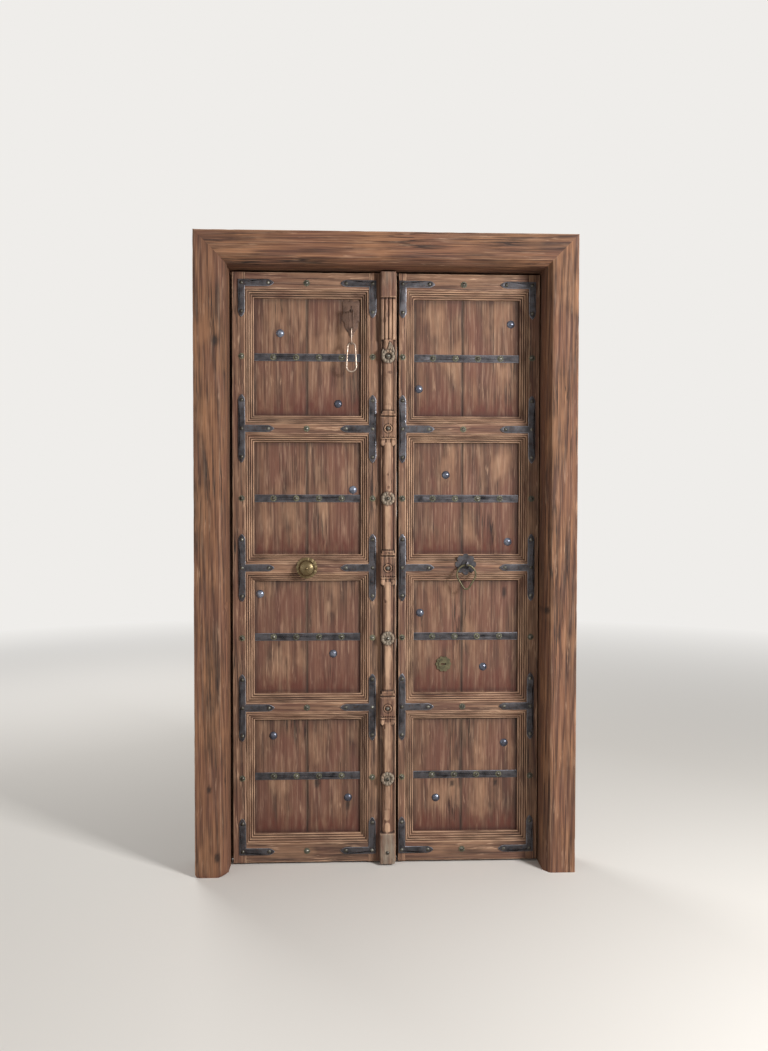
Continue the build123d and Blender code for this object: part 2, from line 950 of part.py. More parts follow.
def strip_section(face, z0, z1):
    """A section of the strip (x across, y proud of the stile) run between two heights."""
    plane = Plane(origin=(strip_x0, face_y, z1), x_dir=(1, 0, 0), z_dir=(0, 0, -1))
    return extrude(plane * face, amount=z1 - z0)


def strip_reeding():
    """Fine reeds below the top block."""
    pitch = strip_width / strip_reeds
    edges = Polyline((strip_width, strip_reed_base), (strip_width, 0), (0, 0), (0, strip_reed_base))
    for reed in range(strip_reeds):
        start = reed * pitch
        crown = (start + pitch / 2, strip_reed_base + strip_reed_rise)
        edges += ThreePointArc((start, strip_reed_base), crown, (start + pitch, strip_reed_base))
    z1 = leaf_top - strip_top_block
    return strip_section(make_face(edges), z1 - strip_reeded_length, z1)


def strip_slab(z0, z1, height, inset=0):
    """A plain raised part of the strip."""
    x1 = strip_x0 + strip_width - inset
    return block(strip_x0 + inset, x1, face_y - height, face_y, z0, z1)


def strip_petals(z, height):
    """Three petals that hang below z."""
    radius = strip_width / strip_petals_across / 2
    straight = strip_petal_length - radius
    face = Pos(0, -straight / 2) * Rectangle(strip_width, straight)
    for petal in range(strip_petals_across):
        x = (2 * petal + 1) * radius - strip_width / 2
        face += Pos(x, -straight) * Circle(radius)
    return raised(face, strip_middle, face_y, z, height)


def strip_block(z):
    """Carved block with a cap, a groove and petals below."""
    top = z + strip_block_length / 2
    bottom = z - strip_block_length / 2
    cap_bottom = top - strip_cap_length
    body_bottom = bottom + strip_petal_length
    piece = strip_slab(cap_bottom, top, strip_cap_height)
    piece += strip_slab(cap_bottom - strip_groove, cap_bottom, strip_petal_height, strip_groove)
    piece += strip_slab(body_bottom + strip_groove, cap_bottom - strip_groove, strip_block_height)
    piece += strip_slab(body_bottom, body_bottom + strip_groove, strip_petal_height, strip_groove)
    return piece + strip_petals(body_bottom, strip_petal_height)


def strip_rosette(z):
    """Round carved flower on the bar."""
    inner = strip_cap_height - strip_groove
    piece = raised(Circle(rosette_radius), strip_middle, face_y, z, inner)
    rim = Circle(rosette_radius) - Circle(rosette_radius - rosette_rim)
    piece += raised(rim, strip_middle, face_y, z, strip_cap_height - strip_groove / 2)
    flower = Circle(rosette_petal_ring)
    for petal in range(rosette_petals):
        turn = Rot(0, 0, petal * 360 / rosette_petals)
        flower += turn * Pos(rosette_petal_ring, 0) * Circle(rosette_petal_radius)
    return piece + raised(flower, strip_middle, face_y, z, strip_cap_height)


def strip_leaf_carving(z):
    """Flower with a pointed leaf that rises from it, at the foot of the reeding."""
    half = leaf_carving_width / 2
    edges = Line((half, 0), (-half, 0))
    for side in leaf_carving_sides:
        edges += ThreePointArc(*((half * across, leaf_carving_length * up) for across, up in side))
    height = strip_cap_height - strip_groove
    return strip_rosette(z) + raised(make_face(edges), strip_middle, face_y, z, height)


def strip_levels():
    """Heights of the carved blocks, the flowers and the leaf carving."""
    blocks = strap_levels[1:-1]
    flowers = panel_middles[:-1]
    return blocks, flowers, panel_middles[-1]


def strip_nail_spots():
    """Nails of the cover strip."""
    blocks, flowers, carving = strip_levels()
    levels = [floor_gap + bottom_strap_rise] + blocks + flowers + [carving]
    return [(strip_middle, z) for z in levels]


def cover_strip():
    """The whole carved strip, one length of timber."""
    blocks, flowers, carving = strip_levels()
    piece = strip_bar() + strip_reeding()
    piece += strip_slab(leaf_top - strip_top_block, leaf_top, strip_cap_height)
    piece += strip_slab(floor_gap, floor_gap + strip_bottom_block, strip_cap_height)
    for z in blocks:
        piece += strip_block(z)
    for z in flowers:
        piece += strip_rosette(z)
    piece += strip_leaf_carving(carving)
    return strip_drilled(piece)


def strip_drilled(piece):
    """A piece with the holes of the cover strip's nails."""
    y0 = face_y - strip_cap_height
    y1 = y0 + strip_nail_length + nail_hole_clearance
    hole = nail_shank_radius + nail_hole_clearance
    return drilled(piece, strip_nail_spots(), y0 - overcut, y1, hole)


# Knob

knob_x = left_leaf.joint_x
knob_z = strap_levels[len(strap_levels) // 2]


def petal_disc(radius, petals, petal_radius, petal_ring):
    """Outline of a disc with round petals."""
    face = Circle(radius)
    for petal in range(petals):
        face += Rot(0, 0, petal * 360 / petals) * Pos(petal_ring, 0) * Circle(petal_radius)
    return face


knob_rose_height = knob_rose_thickness + knob_rose_steps * knob_rose_step_rise


def knob_rose():
    """Petalled plate under the knob, stepped up to its middle."""
    petals = knob_rose_petals
    face = petal_disc(knob_rose_radius, petals, knob_rose_petal_radius, knob_rose_petal_ring)
    piece = raised(face, knob_x, face_y, knob_z, knob_rose_thickness)
    for step in range(1, knob_rose_steps + 1):
        radius = knob_rose_radius - step * knob_rose_step_width
        height = knob_rose_thickness + step * knob_rose_step_rise
        piece += raised(Circle(radius), knob_x, face_y, knob_z, height)
    return knob_bored(piece)


def knob():
    """Turned knob with a ball tip and a stud that is driven into the leaf."""
    base = -knob_rose_height
    tip = -knob_projection
    crown = (knob_tip_radius, tip + knob_tip_radius)
    shoulder = base - knob_neck_height
    collar = (knob_collar_radius, shoulder - knob_collar_height)
    edges = Polyline(
        (0, tip),
        (0, knob_stud_length),
        (knob_stud_radius, knob_stud_length),
        (knob_stud_radius, base),
        (knob_foot_radius, base),
        (knob_neck_radius, shoulder),
        collar,
    )
    edges += ThreePointArc(collar, (knob_radius, (crown[1] + shoulder) / 2), crown)
    edges += ThreePointArc(crown, (knob_tip_shoulder, tip + knob_tip_height), (0, tip))
    return Pos(knob_x, face_y, knob_z) * revolve(make_face(edges), Axis.Y)


def knob_bored(piece):
    """A piece with the hole of the knob's stud."""
    hole = knob_stud_radius + nail_hole_clearance
    y0 = face_y - knob_rose_height - overcut
    return drilled(piece, [(knob_x, knob_z)], y0, face_y + knob_stud_length + overcut, hole)


# Latch chain

plate_x = left_leaf.panel_x1 - chain_plate_side_gap - chain_plate_width / 2
plate_top = panels[-1][1] - chain_plate_top_gap
chain_y = panel_y - chain_hang_depth
staple_z = plate_top - staple_drop


def chain_plate():
    """Shield plate with scalloped sides that end in a point."""
    edges = Curve()
    for side in (-1, 1):
        half = side * chain_plate_width / 2
        for arc in chain_plate_sides:
            edges += ThreePointArc(*((half * across, chain_plate_height * up) for across, up in arc))
    crest_end = (chain_plate_sides[0][0][0] * chain_plate_width / 2, 0)
    edges += ThreePointArc((-crest_end[0], 0), (0, chain_plate_crest), crest_end)
    base_z = plate_top - chain_plate_crest
    piece = raised(make_face(edges), plate_x, panel_y, base_z, chain_plate_thickness)
    return staple_bored(piece)


def staple_bored(piece):
    """A piece with the hole of the staple's stud."""
    hole = staple_wire + nail_hole_clearance
    y1 = panel_y + staple_length + overcut
    return drilled(piece, [(plate_x, staple_z)], face_y - overcut, y1, hole)


def eye_bolt(x, y, z, radius, wire, stud_end):
    """Eye in the plane of Y and Z round (x, y, z), on a stud that runs back to stud_end."""
    path = Plane(origin=(x, y, z), x_dir=(0, 1, 0), z_dir=(1, 0, 0)) * CenterArc((0, 0), radius, 0, 360)
    section = Plane(origin=path @ 0, z_dir=path % 0) * Circle(wire)
    eye = sweep(section, path=path)
    return eye + rod((x, y + radius, z), (x, stud_end, z), wire)


def staple():
    """Eye bolt that carries the chain in front of the mouldings."""
    stud_end = panel_y + staple_length
    return eye_bolt(plate_x, chain_y, staple_z, staple_eye_radius, staple_wire, stud_end)


def link(x, y, top, height, top_radius, bottom_radius, wire, sideways):
    """Closed link that hangs from top, the middle of its upper wire; sideways ones lie in X and Z."""
    high = -top_radius
    low = -(height - 2 * wire) + bottom_radius
    lean = math.asin((bottom_radius - top_radius) / (high - low))
    degrees = math.degrees(lean)
    c, s = math.cos(lean), math.sin(lean)
    right_top = (top_radius * c, high + top_radius * s)
    right_low = (bottom_radius * c, low + bottom_radius * s)
    left_top = (-right_top[0], right_top[1])
    left_low = (-right_low[0], right_low[1])
    edges = [
        Line(right_low, right_top),
        CenterArc((0, high), top_radius, degrees, 180 - 2 * degrees),
        Line(left_top, left_low),
        CenterArc((0, low), bottom_radius, 180 - degrees, 180 + 2 * degrees),
    ]
    across = (1, 0, 0) if sideways else (0, 1, 0)
    facing = (0, -1, 0) if sideways else (1, 0, 0)
    plane = Plane(origin=(x, y, top), x_dir=across, z_dir=facing)
    path = plane * Wire([edge.edge() for edge in edges])
    section = Plane(origin=path @ 0, z_dir=path % 0) * Circle(wire)
    return sweep(section, path=path)


# Heights of the middle of each link's upper wire: a link sits on the wire that it goes round
hook_link_top = staple_z - staple_eye_radius + staple_wire + hook_link_wire + link_gap
hook_link_bottom = hook_link_top - (hook_link_height - 2 * hook_link_wire)
oblong_link_top = hook_link_bottom + hook_link_wire + oblong_link_wire + link_gap
oblong_link_bottom = oblong_link_top - (oblong_link_height - 2 * oblong_link_wire)
end_link_top = oblong_link_bottom + oblong_link_wire + end_link_wire + link_gap


def hook_link():
    """Narrow upper link, which hangs from the staple."""
    radius = hook_link_width / 2 - hook_link_wire
    high = hook_link_height
    return link(plate_x, chain_y, hook_link_top, high, radius, radius, hook_link_wire, True)


def oblong_link():
    """Thin middle link, seen edge on."""
    radius = oblong_link_width / 2 - oblong_link_wire
    high = oblong_link_height
    return link(plate_x, chain_y, oblong_link_top, high, radius, radius, oblong_link_wire, False)


def end_link():
    """Long end link, narrower at its top."""
    low = end_link_width / 2 - end_link_wire
    high = end_link_height
    return link(plate_x, chain_y, end_link_top, high, end_link_top_radius, low, end_link_wire, True)


# Ring pull and slotted rosette

boss_x = right_leaf.joint_x + ring_boss_offset
boss_z = strap_levels[len(strap_levels) // 2] + ring_boss_rise
ring_y = face_y - ring_projection
ring_top = boss_z - ring_eye_radius + ring_eye_wire + ring_wire + link_gap


def ring_boss():
    """Petalled plate with a dome and the eye that carries the ring, on a stud in the leaf."""
    petals = ring_plate_petals
    face = petal_disc(ring_plate_radius, petals, ring_plate_petal_radius, ring_plate_petal_ring)
    dome = turned([(0, -ring_dome_height), (0, 0), (ring_dome_radius, 0)], domed=True)
    piece = raised(face, boss_x, face_y, boss_z, ring_plate_thickness)
    piece += Pos(boss_x, face_y - ring_plate_thickness, boss_z) * dome
    stud_end = face_y + ring_stud_length
    return piece + eye_bolt(boss_x, ring_y, boss_z, ring_eye_radius, ring_eye_wire, stud_end)


def ring_bored(piece):
    """A piece with the hole of the ring boss's stud."""
    hole = ring_eye_wire + nail_hole_clearance
    y1 = face_y + ring_stud_length + overcut
    return drilled(piece, [(boss_x, boss_z)], face_y - overcut, y1, hole)


def pull_ring():
    """Ring that hangs in the eye, round at its top and drawn in to a narrow foot."""
    low = ring_foot_radius
    return link(boss_x, ring_y, ring_top, ring_drop, ring_top_radius, low, ring_wire, True)


rosette_x = right_leaf.panel_x0 + slot_rosette_from_left
rosette_z = panel_middles[1] + slot_rosette_above_middle


def slot_rosette():
    """Petalled brass rosette with a slot."""
    petals = slot_rosette_petals
    face = petal_disc(slot_rosette_radius, petals, slot_rosette_petal_radius, slot_rosette_petal_ring)
    piece = raised(face, rosette_x, panel_y, rosette_z, slot_rosette_thickness)
    boss = Circle(slot_rosette_boss_radius)
    piece += raised(boss, rosette_x, panel_y, rosette_z, slot_rosette_rise)
    slot = SlotOverall(slot_length, slot_height)
    depth = slot_rosette_rise + 2 * overcut
    return piece - raised(slot, rosette_x, panel_y + overcut, rosette_z, depth)


def panelled(leaf, piece):
    """A piece of a leaf's boards or joinery with every hole that goes through it."""
    piece = bolted(leaf, nailed(leaf, piece))
    if leaf is left_leaf:
        return staple_bored(knob_bored(strip_drilled(piece)))
    return ring_bored(piece)


def backed(leaf, piece):
    """The backing board with the screw holes of its hinges as well."""
    side = -1 if leaf.hangs_left else 1
    y0 = back_y - hinge_screw_length
    hole = hinge_screw_radius + nail_hole_clearance
    spots = hinge_screw_spots(side, False)
    return drilled(panelled(leaf, piece), spots, y0, back_y + overcut, hole)


rail_names = ["bottom_rail", "lower_rail", "middle_rail", "upper_rail", "top_rail"]


def build_leaf(leaf):
    """Every node that both leaves have."""
    hanging = "hanging_stile", "meeting_stile"
    stile_names = hanging if leaf.hangs_left else hanging[::-1]
    strap_names = [name.replace("stile", "straps") for name in stile_names]
    plank_names = ("outer_plank", "inner_plank") if leaf.hangs_left else ("inner_plank", "outer_plank")
    for at_left, name in zip((True, False), stile_names):
        save(panelled(leaf, stile(leaf, at_left)), f"{leaf.name}_{name}")
    for at_left, name in zip((True, False), plank_names):
        save(panelled(leaf, plank(leaf, at_left)), f"{leaf.name}_{name}")
    for at_left, name in zip((True, False), strap_names):
        save(group([nailed(leaf, piece) for piece in leaf_straps(leaf, at_left)]), f"{leaf.name}_{name}")
    for number, name in enumerate(rail_names):
        save(panelled(leaf, rail(leaf, number)), f"{leaf.name}_{name}")
    save(backed(leaf, backing(leaf)), f"{leaf.name}_backing")
    save(group([nailed(leaf, piece) for piece in panel_straps(leaf)]), f"{leaf.name}_panel_straps")
    save(group(leaf_nails(leaf)), f"{leaf.name}_nails")
    save(group(leaf_washers(leaf)), f"{leaf.name}_nail_washers")
    spots = bolt_spots(leaf)
    save(group(copies(coach_bolt(), spots, panel_y)), f"{leaf.name}_coach_bolts")
    save(group(copies(bolt_washer(), spots, back_y)), f"{leaf.name}_bolt_washers")
    save(group(copies(nut(), spots, back_y + bolt_washer_thickness)), f"{leaf.name}_nuts")


def build_frame():
    """The frame, with its share of the hinges."""
    save(jamb(-1), "left_jamb")
    save(jamb(1), "right_jamb")
    save(head(), "head")
    save(group([corner_tongue(-1), corner_tongue(1)]), "corner_tongues")
    both = [(side, level) for side in (-1, 1) for level in hinge_levels()]
    save(group([hinge_plate(side, True, level) for side, level in both]), "frame_hinge_plates")
    save(group([hinge_pin(side, level) for side, level in both]), "hinge_pins")
    spots = hinge_screw_spots(-1, True) + hinge_screw_spots(1, True)
    save(group(copies(hinge_screw(), spots, 0)), "frame_hinge_screws")


def build_hinge_leaves():
    """The hinge plates and screws that move with each leaf."""
    for side, name in ((-1, "left_leaf"), (1, "right_leaf")):
        plates = [hinge_plate(side, False, level) for level in hinge_levels()]
        save(group(plates), f"{name}_hinge_plates")
        save(group(copies(hinge_screw(), hinge_screw_spots(side, False), 0)), f"{name}_hinge_screws")


def build_left_fittings():
    """Cover strip, knob and latch chain of the left leaf."""
    save(cover_strip(), "cover_strip")
    nails = copies(nail(strip_nail_length), strip_nail_spots(), face_y - strip_cap_height)
    save(group(nails), "cover_strip_nails")
    save(knob_rose(), "knob_rose")
    save(knob(), "pull_knob")
    save(chain_plate(), "chain_plate")
    save(staple(), "chain_staple")
    save(hook_link(), "hook_link")
    save(oblong_link(), "oblong_link")
    save(end_link(), "end_link")


def build_right_fittings():
    """Ring pull and rosette of the right leaf."""
    save(ring_boss(), "ring_boss")
    save(pull_ring(), "pull_ring")
    save(slot_rosette(), "slot_rosette")


os.makedirs("parts", exist_ok=True)
build_frame()
build_leaf(left_leaf)
build_leaf(right_leaf)
build_hinge_leaves()
build_left_fittings()
build_right_fittings()
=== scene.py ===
import json
import math

import bpy
import numpy as np
from mathutils import Matrix, Vector

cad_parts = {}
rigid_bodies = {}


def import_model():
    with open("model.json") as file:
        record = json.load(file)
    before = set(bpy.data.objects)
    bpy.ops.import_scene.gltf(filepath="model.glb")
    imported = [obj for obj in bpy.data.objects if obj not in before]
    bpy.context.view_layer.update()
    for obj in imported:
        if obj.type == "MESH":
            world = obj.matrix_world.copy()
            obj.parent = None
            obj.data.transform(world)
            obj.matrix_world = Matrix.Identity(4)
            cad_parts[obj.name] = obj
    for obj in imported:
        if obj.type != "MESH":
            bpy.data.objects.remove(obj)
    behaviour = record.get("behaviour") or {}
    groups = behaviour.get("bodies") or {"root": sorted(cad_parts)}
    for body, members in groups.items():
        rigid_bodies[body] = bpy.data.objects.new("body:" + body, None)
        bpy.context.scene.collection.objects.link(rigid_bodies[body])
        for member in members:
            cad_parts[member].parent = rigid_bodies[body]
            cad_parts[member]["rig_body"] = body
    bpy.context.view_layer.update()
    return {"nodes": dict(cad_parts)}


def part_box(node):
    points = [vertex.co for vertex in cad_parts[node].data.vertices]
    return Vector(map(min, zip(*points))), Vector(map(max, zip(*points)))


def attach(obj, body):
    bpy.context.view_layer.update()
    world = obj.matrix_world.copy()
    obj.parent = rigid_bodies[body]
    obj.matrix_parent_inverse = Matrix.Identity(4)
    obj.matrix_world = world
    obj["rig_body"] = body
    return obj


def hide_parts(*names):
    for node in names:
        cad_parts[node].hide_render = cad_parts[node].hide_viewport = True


bl_info = {
    "name": "Old studded double door",
    "version": (1, 0, 0),
    "blender": (4, 5, 0),
    "location": "3D View > Sidebar > Old door",
    "description": "Dresses a pair of old panelled door leaves and their frame as aged timber and iron",
    "category": "Add Mesh",
}

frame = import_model()
MM = 0.001
AXES = np.eye(3)
X, Y, Z = AXES
LEAVES = ("left_leaf", "right_leaf")
RAILS = ("bottom_rail", "lower_rail", "middle_rail", "upper_rail", "top_rail")

# Sizes up here are in millimetres, where no comment says metres

# Section of the frame's timbers, and the broken notch and worn foot of the left jamb
BEVEL_WIDTH = 20
BEVEL_DEPTH = 28
REBATE_WIDTH = 14
REBATE_DEPTH = 21
FRAME_DEPTH = 175
NOTCH_MIDDLE = 915
NOTCH_LENGTH = 26
NOTCH_DEPTH = 9
FOOT_RADIUS = 12
FOOT_DEPTH = 45

# Extra mesh rings of the jambs: up from the floor, and from the middle of the notch
FOOT_RINGS = (0, 2, 4, 7, 10, 13, 16, 20)
NOTCH_RINGS = (-14, -12, -8, -4, 0, 4, 8, 12, 14)

# Ribbed mouldings round the panels
MOULDING_WIDTH = 28
MOULDING_TOP = 24
MOULDING_FOOT = 8
MOULDING_RIBS = 4
QUIRK = 1.6
RIB_RISE = 2.4
RIB_PARTS = 5
MOULDING_STEP = 3

# Planks and backing boards: worn edges, steps of their meshes, and what lies along a panel's edges: dirt with
# painted shade, reddish stain and a dark joint
PLANK_ARRIS = 1.2
PLANK_STEP = 7
BACKING_STEP = 12
DIRT_AND_SHADE_WIDTH = 16
DUST_AND_SHADE_WIDTH = 60
STAIN_HEIGHT = 95
JOINT_WIDTH = 1.5

# How much further than its node each backing board reaches towards the other leaf
BACKING_REACH = 1.0

# Size of the ripples and of the knocks, across and along the grain
RIPPLE_ACROSS = 6
RIPPLE_ALONG = 180
KNOCK_ACROSS = 30
KNOCK_ALONG = 35

# Knots and holes by node: middle across, middle up, half width and half height
KNOTS = {
    "left_jamb": [(-574, 1806, 10, 18), (-599, 300, 7, 13), (-573, 68, 9, 17)],
    "right_jamb": [(548, 900, 8, 13)],
    "left_leaf_inner_plank": [(-240, 278, 10, 15), (-131, 199, 8, 15)],
    "right_leaf_inner_plank": [(238, 273, 9, 13)],
    "right_leaf_outer_plank": [(420, 951, 6, 21), (391, 275, 8, 13)],
}
KNOT_DEPTH = 2.0

# Nails, washers, coach bolts and screws; a nail's length is that below its head, and the least washer is
# a share of the largest
NAIL_HEAD = 4.5
NAIL_SHANK = 1.9
NAIL_LENGTH = 38
STRIP_NAIL_LENGTH = 54
NAIL_POINT = 4
NAIL_FACETS = 9
WASHER_THICKNESS = 2
WASHER_PETALS = 8
LEAST_WASHER = 0.94
BOLT_HEAD = 7
BOLT_SHANK = 5
BOLT_LENGTH = 57
THREAD_TURNS = 12
THREAD_PITCH = 1.5
SCREW_SHANK = 2.2
SCREW_LENGTH = 21
SLOT_DEPTH = 0.9

# Welding distance of the solids' loose triangles
WELD = 0.01

# The photograph's camera: where it stood in metres, how it was turned in degrees and how wide it sees
CAMERA_PLACE = (-0.1527, -3.32235, 1.2837)
CAMERA_YAW = 2.515
CAMERA_PITCH = -1.655
CAMERA_ROLL = 0.089
CAMERA_LENS = 45.04
SENSOR_WIDTH = 36

# Soft lamps: place, target and size in metres
LAMPS = {
    "key": ((2.6, -2.8, 2.3), (0, 0, 0.95), 0.8),
    "fill": ((-3.2, -3.0, 1.9), (0, 0, 1.0), 2.5),
    "back": ((-2.2, 3.6, 3.0), (0, 0, 1.0), 2.0),
}

# Half the floor's side, and how far from the door it starts and ends its fade, in metres
FLOOR_REACH = 40.0
FADE_START = 2.0
FADE_END = 7.0


def linear(code):
    """A hex sRGB colour as linear red, green, blue and alpha."""
    parts = [int(code[i:i + 2], 16) / 255 for i in (1, 3, 5)]
    return tuple(p / 12.92 if p <= 0.04045 else ((p + 0.055) / 1.055) ** 2.4 for p in parts) + (1.0,)


def colour_property(name, description, code):
    """A colour that a user can change."""
    return bpy.props.FloatVectorProperty(
        name=name, description=description, subtype="COLOR", size=4, min=0, max=1, default=linear(code))


def length_property(name, description, millimetres):
    """A length that a user can change, kept in metres."""
    return bpy.props.FloatProperty(
        name=name, description=description, subtype="DISTANCE", unit="LENGTH", min=0, precision=4,
        default=millimetres * MM)


def power_property(name, description, watts):
    """The power of a lamp, which a user can change."""
    return bpy.props.FloatProperty(name=name, description=description, unit="POWER", min=0, default=watts)


class DoorTimberSettings(bpy.types.PropertyGroup):
    """Wear and colours of the timber."""

    arris: length_property("Arris", "How far the timber's edges are worn round", 2.2)
    ripple: length_property("Ripple", "Depth of the ripple that weather leaves along the grain", 0.5)
    chip: length_property("Chip", "Greatest depth of the knocks on the edges", 2.0)
    ring_step: length_property("Ring step", "Distance between mesh rings along the grain", 10)
    side_step: length_property("Side step", "Distance between mesh lines across the grain", 5)
    frame_dark: colour_property("Frame dark", "Dark grain of the frame", "#2a1911")
    frame_body: colour_property("Frame body", "Body colour of the frame", "#6a4530")
    frame_light: colour_property("Frame light", "Orange streaks of the frame", "#ac7c58")
    leaf_dark: colour_property("Leaf dark", "Dark grain of the leaves", "#32211a")
    leaf_body: colour_property("Leaf body", "Body colour of the leaves", "#694938")
    leaf_light: colour_property("Leaf light", "Light grain of the leaves", "#a37d61")
    worn: colour_property("Worn timber", "Bare timber where it is rubbed", "#cfa98a")
    flush: colour_property("Flush", "Reddish mauve of the old finish, in wide patches", "#6a4337")
    stain: colour_property("Stain", "Reddish dirt along the lower edges of the panels", "#5a2c1f")


class DoorMetalSettings(bpy.types.PropertyGroup):
    """Sizes and colours of the ironwork and brass."""

    strap_bevel: length_property("Strap bevel", "Worn edge of the iron straps", 1.1)
    nail_spread: bpy.props.FloatProperty(
        name="Nail spread", description="Smallest nail head as a share of the largest", subtype="FACTOR",
        min=0.5, max=1, default=0.88)
    iron: colour_property("Iron", "Forged iron", "#4f4d50")
    iron_edge: colour_property("Iron edge", "Iron where it is rubbed", "#8d8f98")
    rust: colour_property("Rust", "Brown rust in the iron's pits", "#4a3124")
    stud: colour_property("Stud", "Domed bolt heads", "#848b9a")
    washer: colour_property("Washer", "Tarnished rosette washers", "#716d54")
    brass: colour_property("Brass", "Old brass", "#75664a")
    wire: colour_property("Wire", "Bright bent wire", "#b7a596")


class DoorStageSettings(bpy.types.PropertyGroup):
    """Floor and light."""

    floor: colour_property("Floor", "Pale floor", "#e4e0da")
    backdrop: colour_property("Backdrop", "Pale surroundings", "#efedea")
    key_power: power_property("Key light", "Power of the soft light at the upper right", 180)
    fill_power: power_property("Fill light", "Power of the weak light at the left", 16)
    back_power: power_property("Back light", "Power of the light behind the door", 90)
    sky: bpy.props.FloatProperty(
        name="Ambient", description="Strength of the even light from all round", min=0, default=0.3)


# Materials

def add(tree, kind, sockets=None, out=0, **settings):
    """Adds one node with its settings and its sockets' values or links; returns one output, or all."""
    made = tree.nodes.new(kind)
    for name, value in settings.items():
        setattr(made, name, value)
    for socket, value in (sockets or {}).items():
        if isinstance(value, bpy.types.NodeSocket):
            tree.links.new(value, made.inputs[socket])
        else:
            made.inputs[socket].default_value = value
    return made.outputs if out is None else made.outputs[out]


def blank_material(name):
    """A new material with its node tree and its shader."""
    material = bpy.data.materials.new(name)
    material.use_nodes = True
    tree = material.node_tree
    return material, tree, tree.nodes["Principled BSDF"]


def streaks(tree, grain, width, length, detail=2.0):
    """Noise in streaks of a real width and length in millimetres; the third axis runs along them."""
    scale = (1 / (width * MM), 1 / (width * MM), 1 / (length * MM))
    stretched = add(tree, "ShaderNodeVectorMath", {0: grain, 1: scale}, operation="MULTIPLY")
    return add(tree, "ShaderNodeTexNoise", {"Vector": stretched, "Scale": 1.0, "Detail": detail})


def layered(tree, base, *layers):
    """The base colour with others laid over it in turn.

    A layer is a value, where in it the layer starts and where it is full, its cover there and its colour.
    """
    for value, start, full, cover, colour in layers:
        share = add(tree, "ShaderNodeMapRange", {
            "Value": value, "From Min": start, "From Max": full, "To Max": cover})
        base = add(tree, "ShaderNodeMix", {0: share, 6: base, 7: colour}, out=2, data_type="RGBA")
    return base


def surfaced(tree, shader, base, rough, height, strength, depth):
    """Gives a shader its colour, its roughness and the bump of a height that is so many millimetres deep."""
    bump = add(tree, "ShaderNodeBump", {"Height": height, "Strength": strength, "Distance": depth * MM})
    for socket, value in (("Base Color", base), ("Roughness", rough), ("Normal", bump)):
        tree.links.new(value, shader.inputs[socket])


def timber_material(name, dark, body, light, worn, flush, stain, figure, strand, contrast, cracked, rubbed,
                    mottled):
    """Old timber, hand planed and long dried: grain in streaks, dark checks, pale where it is rubbed.

    figure is the spacing of the growth rings and strand the length of the fibres in millimetres;
    contrast, cracked, rubbed and mottled run from 0 to 1.
    """
    material, tree, shader = blank_material(name)
    grain, dirt, stained = [
        add(tree, "ShaderNodeAttribute", out=output, attribute_name=attribute)
        for attribute, output in (("grain", "Vector"), ("dirt", "Fac"), ("stained", "Fac"))]
    broad = streaks(tree, grain, 60, 500)
    rings = growth_rings(tree, grain, figure)
    # Fibres, drawn about 4 mm wide so that they show
    fibre = streaks(tree, grain, 3.6, strand, 4.0)
    # Patches a hand across, where the old finish is reddish or has gone golden
    patch = streaks(tree, grain, 90, 190, 3.0)
    # Pale wisps where the old finish has gone
    wisp = streaks(tree, grain, 8, 95, 6.0)
    check = drying_checks(tree, grain, cracked)
    bare = bare_places(tree, grain, rubbed)
    wander = streaks(tree, grain, 18, 60, 3.0)
    stained = add(tree, "ShaderNodeMath", {0: wander, 1: stained}, operation="MULTIPLY")
    ink = tuple(part * 0.22 for part in dark[:3]) + (1.0,)
    # Dark stretches, early and late wood, pale and dark fibres, then what age has laid over them; the bare
    # places include a painted highlight along the strip's bar, and the last layer, darkening, is dirt, knots
    # and dark joints with painted shade in hollows and along the panels' edges
    base = layered(
        tree, body,
        (broad, 0.58, 0.38, 0.62, dark),
        (rings, 0.4, 1.0, 0.4 * contrast, light),
        (rings, 0.26, 0.08, 0.9 * contrast, dark),
        (fibre, 0.5, 0.68, contrast, light),
        (fibre, 0.48, 0.32, contrast, dark),
        (patch, 0.47, 0.62, 0.75 * mottled, flush),
        (patch, 0.46, 0.34, 0.62 * mottled, light),
        (check, 0.0, 1.0, 1.0, ink),
        (wisp, 0.52, 0.76, 0.36 * mottled, worn),
        (bare, 0.0, 1.0, 0.3 + 0.5 * rubbed, worn),
        (stained, 0.17, 0.52, 0.9, stain),
        (dirt, 0.0, 1.0, 0.8, ink))
    rough = add(tree, "ShaderNodeMapRange", {"Value": wisp, "To Min": 0.92, "To Max": 0.62})
    height = add(tree, "ShaderNodeMath", {0: fibre, 1: check}, operation="SUBTRACT")
    surfaced(tree, shader, base, rough, height, 0.8, 1.4)
    return material


def growth_rings(tree, grain, figure):
    """Bands of late wood of a spacing in millimetres, which drift into arches along the grain."""
    # Metres from band to band of a diagonal wave of scale 1
    apart = 0.628
    flat = add(tree, "ShaderNodeVectorMath", {0: grain, 1: (1.0, 1.0, 0.05)}, operation="MULTIPLY")
    return add(tree, "ShaderNodeTexWave", {
        "Vector": flat, "Scale": apart / (figure * MM), "Distortion": 7.0, "Detail": 3.0, "Detail Scale": 0.6,
        "Detail Roughness": 0.6}, out="Fac", bands_direction="DIAGONAL")


def drying_checks(tree, grain, cracked):
    """Dark cracks along the grain, where one long noise crosses its middle, in some places only.

    They are drawn up to 2 mm wide, wider than most of the real ones, so that they show.
    """
    line = streaks(tree, grain, 10, 330, 3.0)
    away = add(tree, "ShaderNodeMath", {0: line, 1: 0.5}, operation="SUBTRACT")
    away = add(tree, "ShaderNodeMath", {0: away}, operation="ABSOLUTE")
    thin = add(tree, "ShaderNodeMapRange", {"Value": away, "From Min": 0.036, "From Max": 0.016})
    where = streaks(tree, grain, 70, 300, 1.0)
    where = add(tree, "ShaderNodeMapRange", {
        "Value": where, "From Min": 0.62 - 0.16 * cracked, "From Max": 0.7, "To Max": 0.9})
    return add(tree, "ShaderNodeMath", {0: thin, 1: where}, operation="MULTIPLY")


